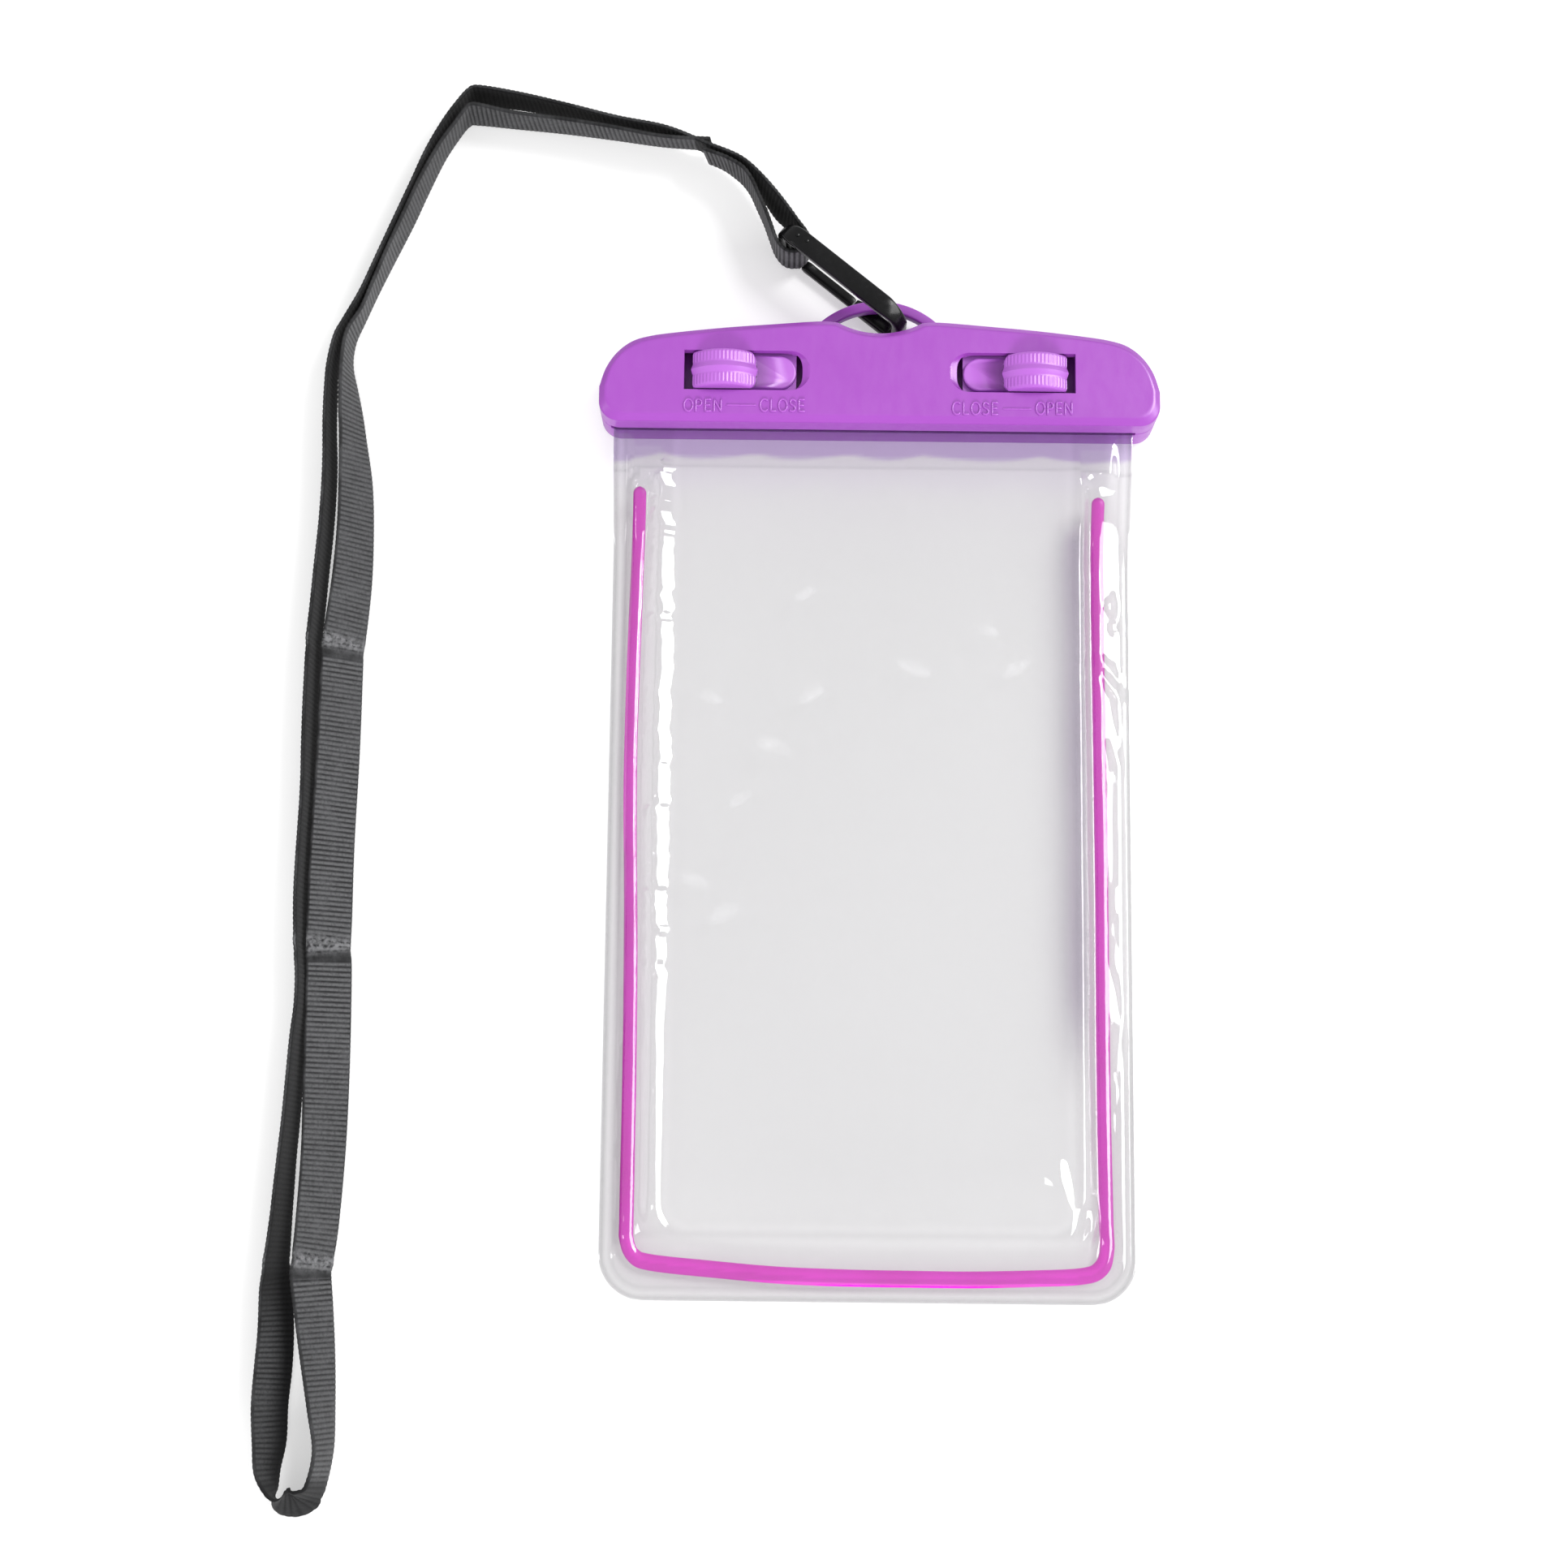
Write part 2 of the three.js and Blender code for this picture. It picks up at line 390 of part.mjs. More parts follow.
// -------------------------------------------------------------------- strap
// Stations along the webbing: centre x, y, z, then the direction of its width.
const STRAP = [
  [-36.6, 134.2, 6.9, 0.00, -0.12, 0.99],
  [-33.4, 132.8, 7.2, 0.00, -0.10, 1.00],
  [-30.9, 131.3, 7.5, 0.00, -0.05, 1.00],
  [-28.5, 129.4, 7.7, 0.00, 0.00, 1.00],
  [-26.8, 127.0, 7.8, 0.00, 0.00, 1.00],
  [-25.4, 123.9, 7.8, 0.00, 0.00, 1.00],
  [-23.8, 120.2, 7.8, 0.00, 0.00, 1.00],
  [-22.6, 116.8, 7.8, 0.00, 0.00, 1.00],
  [-21.3, 113.4, 7.8, 0.00, 0.00, 1.00],
  [-19.1, 111.3, 7.8, 0.00, 0.00, 1.00],
  [-16.0, 111.7, 7.8, 0.00, 0.00, 1.00],
  [-15.0, 114.5, 7.8, 0.00, 0.00, 1.00],
  [-17.4, 118.1, 7.8, 0.00, 0.00, 1.00],
  [-20.9, 122.0, 7.8, 0.12, 0.06, 0.99],
  [-24.9, 127.4, 7.7, 0.05, 0.03, 1.00],
  [-29.2, 131.9, 7.4, 0.00, -0.05, 1.00],
  [-35.7, 135.5, 6.9, -0.04, -0.15, 0.99],
  [-44.7, 138.9, 6.6, -0.04, -0.15, 0.99],
  [-55.0, 140.8, 6.2, -0.03, -0.14, 0.99],
  [-65.6, 143.5, 5.8, -0.03, -0.10, 0.99],
  [-76.1, 145.9, 5.3, -0.01, -0.05, 1.00],
  [-84.5, 147.0, 5.3, 0.00, 0.02, 1.00],
  [-86.5, 146.8, 5.3, -0.00, 0.00, 1.00],
  [-88.5, 144.5, 5.3, -0.01, 0.01, 1.00],
  [-91.4, 140.1, 5.3, -0.02, 0.01, 1.00],
  [-94.9, 133.6, 5.3, -0.00, 0.00, 1.00],
  [-101.1, 118.3, 5.3, -0.02, 0.01, 1.00],
  [-107.7, 102.6, 5.3, -0.00, 0.00, 1.00],
  [-111.0, 96.1, 5.3, -0.00, 0.00, 1.00],
  [-112.7, 92.8, 5.3, -0.00, 0.00, 1.00],
  [-113.6, 87.0, 5.3, -0.03, 0.00, 1.00],
  [-113.7, 74.8, 5.3, -0.09, -0.00, 1.00],
  [-113.4, 67.4, 5.3, -0.10, -0.00, 0.99],
  [-113.7, 52.6, 5.3, -0.10, 0.01, 0.99],
  [-114.2, 44.0, 5.3, -0.10, 0.01, 0.99],
  [-115.1, 28.6, 5.3, -0.10, 0.00, 0.99],
  [-115.3, 16.5, 5.3, -0.10, 0.00, 0.99],
  [-115.1, -3.0, 5.3, -0.10, 0.00, 0.99],
  [-115.7, -22.2, 5.3, -0.10, 0.00, 0.99],
  [-115.2, -34.4, 5.3, -0.10, -0.01, 0.99],
  [-114.7, -45.8, 5.3, -0.10, 0.00, 0.99],
  [-115.4, -58.9, 5.3, -0.14, 0.01, 0.99],
  [-115.9, -67.7, 5.4, -0.16, 0.01, 0.99],
  [-116.7, -81.9, 5.4, -0.21, 0.02, 0.98],
  [-117.6, -97.3, 5.3, -0.34, 0.04, 0.94],
  [-117.5, -101.5, 5.0, -0.47, 0.03, 0.88],
  [-117.2, -109.8, 4.8, -0.54, 0.02, 0.84],
  [-117.5, -116.9, 4.6, -0.59, 0.03, 0.81],
  [-117.8, -123.7, 4.7, -0.56, -0.01, 0.83],
  [-117.6, -130.6, 4.8, -0.50, -0.02, 0.87],
  [-117.8, -136.3, 5.1, -0.32, -0.02, 0.95],
  [-116.8, -140.3, 5.3, -0.10, 0.12, 0.99],
  [-115.3, -142.3, 5.0, 0.04, 0.40, 0.91],
  [-112.2, -142.2, 4.5, 0.00, 0.59, 0.81],
  [-110.8, -141.5, 4.7, -0.16, 0.51, 0.85],
  [-109.8, -141.0, 5.1, -0.28, 0.25, 0.93],
  [-108.3, -139.3, 5.3, -0.23, 0.09, 0.97],
  [-107.0, -132.3, 5.3, -0.22, 0.01, 0.97],
  [-107.7, -124.0, 5.1, -0.37, -0.01, 0.93],
  [-109.0, -113.5, 4.7, -0.54, -0.03, 0.84],
  [-110.2, -104.3, 4.4, -0.64, -0.05, 0.77],
  [-110.7, -95.8, 4.2, -0.69, 0.08, 0.72],
  [-109.4, -74.4, 3.8, -0.78, 0.04, 0.63],
  [-109.5, -58.0, 3.4, -0.84, 0.00, 0.54],
  [-109.8, -38.5, 3.5, -0.83, -0.05, 0.56],
  [-110.1, -28.7, 3.5, -0.83, -0.00, 0.56],
  [-109.5, 8.8, 3.8, -0.78, 0.02, 0.63],
  [-109.5, 27.5, 3.9, -0.77, 0.01, 0.64],
  [-108.1, 41.4, 4.2, -0.71, 0.02, 0.71],
  [-107.7, 52.0, 4.5, -0.63, -0.01, 0.78],
  [-108.8, 72.1, 5.1, -0.40, -0.07, 0.91],
  [-110.2, 83.2, 5.3, -0.22, -0.05, 0.97],
  [-110.6, 89.1, 5.3, -0.07, -0.01, 1.00],
  [-110.0, 94.2, 5.3, -0.02, 0.00, 1.00],
  [-107.7, 99.0, 5.3, 0.06, -0.03, 1.00],
  [-102.2, 112.7, 5.3, -0.00, 0.00, 1.00],
  [-96.1, 127.2, 5.3, -0.03, 0.01, 1.00],
  [-89.3, 139.8, 5.3, 0.04, -0.03, 1.00],
  [-87.3, 142.8, 5.3, 0.03, -0.02, 1.00],
  [-85.3, 143.8, 5.3, 0.00, 0.05, 1.00],
  [-77.0, 142.7, 5.3, -0.00, -0.05, 1.00],
  [-55.9, 139.7, 6.1, -0.02, -0.12, 0.99],
  [-45.5, 137.8, 6.5, -0.03, -0.17, 0.98],
  [-35.4, 136.7, 6.9, -0.03, -0.16, 0.99],
];
function catmull(rows, per) {
  const out = [];
  const dims = rows[0].length;
  for (let i = 0; i + 1 < rows.length; i++) {
    const a = rows[Math.max(0, i - 1)], b = rows[i], c = rows[i + 1], d = rows[Math.min(rows.length - 1, i + 2)];
    for (let k = 0; k < per; k++) {
      const t = k / per, r = [];
      for (let q = 0; q < dims; q++)
        r.push(0.5 * (2 * b[q] + (c[q] - a[q]) * t + (2 * a[q] - 5 * b[q] + 4 * c[q] - d[q]) * t * t + (3 * b[q] - a[q] - 3 * c[q] + d[q]) * t * t * t));
      out.push(r);
    }
  }
  out.push(rows[rows.length - 1]);
  return out;
}
function strap() {
  const rows = STRAP;
  const pts = rows.map(r => ({ p: r.slice(0, 3), u: r.slice(3, 6) }));
  const a = STRAP_W / 2, b = STRAP_T / 2;
  return outward(loft(tubeRings(pts, () => [[a, b], [-a, b], [-a, -b], [a, -b]])));
}

// ----------------------------------------------------------------- assembly
const violet = 0xbb64d7, magenta = 0xd642c4, black = 0x121214, webbing = 0x26272a, clear = 0xe6e6ea;
const mat = (color, roughness, extra = {}) => new THREE.MeshStandardMaterial({ color, roughness, metalness: 0, ...extra });
const group = new THREE.Group();
function add(name, geometry, material, parent = group) {
  geometry.computeVertexNormals();
  const m = new THREE.Mesh(geometry, material);
  m.name = name;
  parent.add(m);
  return m;
}
const clamp = new THREE.Group(), bag = new THREE.Group(), lanyard = new THREE.Group();
group.add(clamp, bag, lanyard);
add('rear_jaw', rearJaw(), mat(violet, 0.42), clamp);
add('front_jaw', frontJaw(), mat(violet, 0.42), clamp);
add('lock_slider_left', slider(-1), mat(violet, 0.38), clamp);
add('lock_slider_right', slider(1), mat(violet, 0.38), clamp);
add('back_film', film((x, y) => rise(y), ROWS_BACK, COLS_BACK), mat(clear, 0.15, { transparent: true, opacity: 0.35 }), bag);
add('front_film', film(frontZ, ROWS_FRONT, COLS_FRONT), mat(clear, 0.12, { transparent: true, opacity: 0.35 }), bag);
add('u_bead', bead(), mat(magenta, 0.3), bag);
add('clip_hook', clipBody(), mat(black, 0.3), lanyard);
add('clip_gate', clipGate(), mat(black, 0.3), lanyard);
add('neck_strap', strap(), mat(webbing, 0.85), lanyard);

export default group;
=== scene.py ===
# Waterproof phone pouch: clear film bag, violet clamp, soft bead, snap clip and webbing neck strap.
import math

import bpy
import bmesh
import numpy as np
from mathutils import Matrix, Vector, noise


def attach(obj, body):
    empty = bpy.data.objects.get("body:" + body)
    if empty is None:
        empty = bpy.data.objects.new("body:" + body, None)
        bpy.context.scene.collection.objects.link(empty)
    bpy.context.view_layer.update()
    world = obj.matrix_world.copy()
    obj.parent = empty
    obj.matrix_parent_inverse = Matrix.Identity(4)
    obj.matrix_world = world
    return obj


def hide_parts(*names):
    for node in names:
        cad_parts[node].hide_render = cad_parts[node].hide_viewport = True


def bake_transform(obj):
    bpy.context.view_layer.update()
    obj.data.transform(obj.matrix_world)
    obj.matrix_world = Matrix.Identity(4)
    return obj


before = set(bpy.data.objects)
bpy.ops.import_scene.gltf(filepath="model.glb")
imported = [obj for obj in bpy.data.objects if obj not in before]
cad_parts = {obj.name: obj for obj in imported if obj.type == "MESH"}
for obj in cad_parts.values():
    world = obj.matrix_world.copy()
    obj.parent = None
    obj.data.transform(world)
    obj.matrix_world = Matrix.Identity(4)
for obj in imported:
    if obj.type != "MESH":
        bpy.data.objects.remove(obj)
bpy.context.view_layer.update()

MM = 0.001
scene = bpy.context.scene

# ------------------------------------------------------------------ camera
TILT, ROLL, DIST = math.radians(10.0), math.radians(0.62), 575.4
LOOK_AT = Vector((-18.72, 1.25, 0.0))
back = Vector((0.0, -math.sin(TILT), math.cos(TILT)))
up0, right0 = Vector((0.0, math.cos(TILT), math.sin(TILT))), Vector((1.0, 0.0, 0.0))
right = right0 * math.cos(ROLL) + up0 * math.sin(ROLL)
up = up0 * math.cos(ROLL) - right0 * math.sin(ROLL)
cam_data = bpy.data.cameras.new("camera")
cam_data.sensor_width = 36.0
cam_data.lens = 64.55
cam_data.clip_start, cam_data.clip_end = 0.02, 20.0
cam = bpy.data.objects.new("camera", cam_data)
scene.collection.objects.link(cam)
m = Matrix((right, up, back)).transposed().to_4x4()
m.translation = (LOOK_AT + back * DIST) * MM
cam.matrix_world = m
scene.camera = cam
scene.view_settings.view_transform = "Standard"
scene.view_settings.look = "None"
scene.view_settings.exposure = 0.0


# ----------------------------------------------------------------- helpers
def smooth(t):
    t = np.clip(t, 0.0, 1.0)
    return t * t * (3.0 - 2.0 * t)


def make(name, verts, faces, sharp=35.0):
    """A mesh object from points in millimetres."""
    me = bpy.data.meshes.new(name)
    v = np.asarray(verts, float) * MM
    me.from_pydata([tuple(p) for p in v], [], [tuple(f) for f in faces])
    me.update()
    o = bpy.data.objects.new(name, me)
    scene.collection.objects.link(o)
    bm = bmesh.new()
    bm.from_mesh(me)
    bmesh.ops.recalc_face_normals(bm, faces=bm.faces)
    bm.to_mesh(me)
    bm.free()
    shade(o, sharp)
    return o


def shade(o, sharp=35.0, weighted=False):
    me = o.data
    me.shade_smooth()
    if sharp is not None:
        me.set_sharp_from_angle(angle=math.radians(sharp))
    if weighted:
        md = o.modifiers.new("flat", "WEIGHTED_NORMAL")
        md.weight, md.keep_sharp, md.mode = 100, True, "FACE_AREA"
        bake(o)


def bake(o):
    """Applies the modifiers to the mesh."""
    bpy.context.view_layer.update()
    dg = bpy.context.evaluated_depsgraph_get()
    me = bpy.data.meshes.new_from_object(o.evaluated_get(dg), depsgraph=dg)
    o.modifiers.clear()
    o.data = me
    return o


def boolean(a, b, op):
    md = a.modifiers.new("cut", "BOOLEAN")
    md.operation, md.object, md.solver = op, b, "EXACT"
    bake(a)
    bpy.data.objects.remove(b)
    return a


def bevel(o, width, segments=2, angle=32.0):
    md = o.modifiers.new("edge", "BEVEL")
    md.width, md.segments, md.limit_method, md.angle_limit = width * MM, segments, "ANGLE", math.radians(angle)
    md.use_clamp_overlap = True
    md.miter_outer = "MITER_ARC"
    bake(o)
    return o


def clean(o, dist=0.0008):
    bm = bmesh.new()
    bm.from_mesh(o.data)
    bmesh.ops.remove_doubles(bm, verts=bm.verts, dist=dist * MM)
    bmesh.ops.dissolve_degenerate(bm, edges=bm.edges, dist=dist * MM)
    bm.to_mesh(o.data)
    bm.free()
    return o


def loft(name, rings, sharp=35.0, closed=False):
    n = len(rings[0])
    verts = [p for r in rings for p in r]
    faces = []
    for k in range(len(rings) - 1):
        for i in range(n):
            j = (i + 1) % n
            faces.append((k * n + i, k * n + j, (k + 1) * n + j, (k + 1) * n + i))
    if closed:
        k = len(rings) - 1
        for i in range(n):
            j = (i + 1) % n
            faces.append((k * n + i, k * n + j, j, i))
    else:
        faces.append(tuple(reversed(range(n))))
        faces.append(tuple(range((len(rings) - 1) * n, len(rings) * n)))
    return make(name, verts, faces, sharp)


def box(name, x0, x1, y0, y1, z0, z1):
    v = [(x, y, z) for z in (z0, z1) for x, y in ((x0, y0), (x1, y0), (x1, y1), (x0, y1))]
    f = [(3, 2, 1, 0), (4, 5, 6, 7), (0, 1, 5, 4), (1, 2, 6, 5), (2, 3, 7, 6), (3, 0, 4, 7)]
    return make(name, v, f)


def catmull(points, per):
    p = np.asarray(points, float)
    out = []
    for i in range(len(p) - 1):
        a, b, c, d = p[max(0, i - 1)], p[i], p[i + 1], p[min(len(p) - 1, i + 2)]
        for k in range(per):
            t = k / per
            out.append(0.5 * (2 * b + (c - a) * t + (2 * a - 5 * b + 4 * c - d) * t * t + (3 * b - a - 3 * c + d) * t ** 3))
    out.append(p[-1])
    return np.array(out)


def tube_rings(centres, ups, sections):
    """Rings round a line; a section is a list of (along up, across) offsets."""
    c, u = np.asarray(centres, float), np.asarray(ups, float)
    t = np.gradient(c, axis=0)
    t /= np.linalg.norm(t, axis=1)[:, None]
    u = u - (u * t).sum(1)[:, None] * t
    u /= np.linalg.norm(u, axis=1)[:, None]
    v = np.cross(t, u)
    return [[tuple(c[i] + u[i] * a + v[i] * b) for a, b in sections(i, len(c))] for i in range(len(c))]


def oval(a, b, n=16, power=1.0):
    out = []
    for i in range(n):
        q = 2 * math.pi * i / n
        ca, sa = math.cos(q), math.sin(q)
        out.append((a * math.copysign(abs(ca) ** power, ca), b * math.copysign(abs(sa) ** power, sa)))
    return out


def join(name, objs):
    bpy.ops.object.select_all(action="DESELECT")
    for o in objs:
        o.select_set(True)
    bpy.context.view_layer.objects.active = objs[0]
    bpy.ops.object.join()
    objs[0].name = name
    objs[0].data.name = name
    return objs[0]


# --------------------------------------------------------------- materials
class Nodes:
    def __init__(self, name):
        self.mat = bpy.data.materials.new(name)
        self.mat.use_nodes = True
        self.nt = self.mat.node_tree
        self.nt.nodes.clear()
        self.out = self.add("ShaderNodeOutputMaterial")

    def add(self, kind, **kw):
        n = self.nt.nodes.new(kind)
        for k, v in kw.items():
            setattr(n, k, v)
        return n

    def link(self, a, b):
        self.nt.links.new(a, b)

    def coords(self, scale=(1, 1, 1), loc=(0, 0, 0), rot=(0, 0, 0)):
        tc = self.add("ShaderNodeTexCoord")
        mp = self.add("ShaderNodeMapping")
        mp.inputs["Scale"].default_value = scale
        mp.inputs["Location"].default_value = loc
        mp.inputs["Rotation"].default_value = rot
        self.link(tc.outputs["Object"], mp.inputs["Vector"])
        return mp.outputs["Vector"]

    def noise(self, scale, detail=3.0, rough=0.5, vec=None, dist=0.0):
        n = self.add("ShaderNodeTexNoise")
        n.inputs["Scale"].default_value = scale
        n.inputs["Detail"].default_value = detail
        n.inputs["Roughness"].default_value = rough
        n.inputs["Distortion"].default_value = dist
        self.link(vec if vec is not None else self.coords(), n.inputs["Vector"])
        return n.outputs["Fac"]

    def ramp(self, fac, stops):
        r = self.add("ShaderNodeValToRGB")
        e = r.color_ramp.elements
        while len(e) > 1:
            e.remove(e[-1])
        e[0].position, e[0].color = stops[0][0], (*stops[0][1], 1)
        for p, c in stops[1:]:
            x = e.new(p)
            x.color = (*c, 1)
        self.link(fac, r.inputs["Fac"])
        return r.outputs["Color"]

    def rng(self, fac, a, b, lo=0.0, hi=1.0):
        r = self.add("ShaderNodeMapRange")
        r.inputs["From Min"].default_value, r.inputs["From Max"].default_value = lo, hi
        r.inputs["To Min"].default_value, r.inputs["To Max"].default_value = a, b
        self.link(fac, r.inputs["Value"])
        return r.outputs["Result"]

    def math(self, op, a, b=None):
        n = self.add("ShaderNodeMath", operation=op)
        for i, v in enumerate((a, b)):
            if v is None:
                continue
            if isinstance(v, (int, float)):
                n.inputs[i].default_value = v
            else:
                self.link(v, n.inputs[i])
        return n.outputs[0]

    def mix(self, fac, a, b, blend="MIX"):
        n = self.add("ShaderNodeMix", data_type="RGBA", blend_type=blend)
        for sock, v in ((n.inputs[0], fac), (n.inputs[6], a), (n.inputs[7], b)):
            if isinstance(v, (int, float)):
                sock.default_value = v
            elif isinstance(v, tuple):
                sock.default_value = (*v, 1)
            else:
                self.link(v, sock)
        return n.outputs[2]

    def attribute(self, name):
        n = self.add("ShaderNodeAttribute", attribute_name=name)
        return n

    def bump(self, height, distance, strength=1.0, normal=None):
        n = self.add("ShaderNodeBump")
        n.inputs["Distance"].default_value = distance
        n.inputs["Strength"].default_value = strength
        self.link(height, n.inputs["Height"])
        if normal is not None:
            self.link(normal, n.inputs["Normal"])
        return n.outputs["Normal"]

    def principled(self, **kw):
        p = self.add("ShaderNodeBsdfPrincipled")
        for k, v in kw.items():
            s = p.inputs[k.replace("_", " ")]
            if isinstance(v, (int, float)):
                s.default_value = v
            elif isinstance(v, tuple):
                s.default_value = (*v, 1) if len(v) == 3 and s.type == "RGBA" else v
            else:
                self.link(v, s)
        self.link(p.outputs[0], self.out.inputs["Surface"])
        return p


def moulded(name, base, light, rough=0.36, grain=2600.0):
    """Moulded plastic: a fine eggshell grain, faint flow shading and uneven gloss."""
    n = Nodes(name)
    cloud = n.noise(38.0, 2.0, 0.5, n.coords(scale=(1, 2.2, 1)))
    colour = n.ramp(cloud, [(0.3, base), (0.72, light)])
    fine = n.noise(grain, 2.0, 0.6)
    scuff = n.noise(420.0, 4.0, 0.65, n.coords(scale=(1, 0.35, 1), rot=(0, 0, 0.5)))
    rough_map = n.rng(scuff, rough - 0.05, rough + 0.07, 0.35, 0.7)
    height = n.math("ADD", n.math("MULTIPLY", fine, 0.6), n.math("MULTIPLY", n.noise(300.0, 2.0), 0.8))
    n.principled(Base_Color=colour, Roughness=rough_map, Normal=n.bump(height, 0.000012, 0.6),
                 Specular_IOR_Level=0.38, Coat_Weight=0.06, Coat_Roughness=0.25)
    return n.mat


VIOLET = moulded("violet_moulding", (0.288, 0.053, 0.398), (0.304, 0.058, 0.417))
VIOLET_SLIDER = moulded("violet_slider", (0.368, 0.098, 0.505), (0.400, 0.115, 0.535), rough=0.42)
# painted highlight: the legend strokes are the face's violet plastic, made lighter to look lit
VIOLET_LEGEND_PAINTED_HIGHLIGHT = moulded("violet_legend_painted_highlight", (0.350, 0.085, 0.470), (0.372, 0.093, 0.490), rough=0.30)


def bead_material():
    n = Nodes("soft_bead")
    cloud = n.noise(60.0, 3.0, 0.55)
    colour = n.ramp(cloud, [(0.3, (0.66, 0.003, 0.505)), (0.7, (0.77, 0.008, 0.61))])
    fine = n.noise(1500.0, 3.0, 0.6)
    n.principled(Base_Color=colour, Roughness=n.rng(fine, 0.3, 0.42), Normal=n.bump(fine, 0.00003, 0.5),
                 Subsurface_Weight=0.05, Subsurface_Scale=0.0008, Specular_IOR_Level=0.3)
    return n.mat


def clip_material():
    n = Nodes("clip_plastic")
    cloud = n.noise(150.0, 3.0, 0.6)
    colour = n.ramp(cloud, [(0.3, (0.0025, 0.0025, 0.0028)), (0.75, (0.006, 0.006, 0.0065))])
    scuff = n.noise(900.0, 4.0, 0.65)
    n.principled(Base_Color=colour, Roughness=n.rng(scuff, 0.16, 0.32, 0.3, 0.75),
                 Normal=n.bump(n.noise(700.0, 3.0), 0.00002, 0.5), Specular_IOR_Level=0.15, Coat_Weight=0.03, Coat_Roughness=0.10)
    return n.mat


def webbing_material():
    n = Nodes("charcoal_webbing")
    rib = n.attribute("rib").outputs["Fac"]
    fold_band = n.attribute("fold_band").outputs["Fac"]
    yarn = n.noise(1700.0, 3.0, 0.7)
    blotch = n.noise(240.0, 3.0, 0.6)
    inner = n.attribute("inner").outputs["Fac"]
    rib_shade_mix = n.attribute("rib_shade_strength").outputs["Fac"]
    # painted shade and highlight: grooves between the ribs near black, rib tops lighter, a stronger and a softer
    # version mixed along the strap
    deep = n.ramp(rib, [(0.0, (0.002, 0.002, 0.0022)), (0.55, (0.012, 0.012, 0.013)), (0.8, (0.055, 0.0555, 0.058)), (1.0, (0.108, 0.1085, 0.112))])
    soft = n.ramp(rib, [(0.0, (0.012, 0.012, 0.013)), (0.6, (0.036, 0.0365, 0.038)), (1.0, (0.066, 0.0665, 0.069))])
    base = n.mix(rib_shade_mix, soft, deep)
    varied = n.mix(n.rng(blotch, 0.0, 0.5, 0.4, 0.75), base, (0.090, 0.091, 0.095))
    speck = n.mix(n.rng(yarn, 0.0, 0.6, 0.45, 0.75), varied, (0.012, 0.012, 0.013))
    # a paler speckled band along each fold mark
    fold_banded = n.mix(n.math("MULTIPLY", fold_band, n.rng(n.noise(1100.0, 3.0), 0.0, 1.0, 0.40, 0.62)), speck, (0.165, 0.166, 0.172))
    # painted shade: the 'inner' attribute takes the colour towards near black
    pale = n.mix(n.math("MULTIPLY", inner, 0.93), fold_banded, (0.002, 0.002, 0.0024))
    height = n.math("ADD", yarn, n.noise(3400.0, 1.0))
    n.principled(Base_Color=pale, Roughness=0.86, Normal=n.bump(height, 0.00006, 0.55),
                 Specular_IOR_Level=0.16, Sheen_Weight=0.06, Sheen_Roughness=0.45)
    return n.mat


# painted reflections: places on the window where milky patches stand in for glare
GLARE_SPOTS = [(877, 859), (1000, 855), (952, 919), (912, 984), (853, 1084), (893, 1125), (1218, 777), (1252, 823), (1127, 823), (992, 732)]


def place(px, py, z):
    """The point at height z seen at that place of the frame, in millimetres."""
    u, v = (px - 966.0) / 3464.0, (966.0 - py) / 3464.0
    d = right * u + up * v - back
    eye = LOOK_AT + back * DIST
    return eye + d * ((z - eye.z) / d.z)


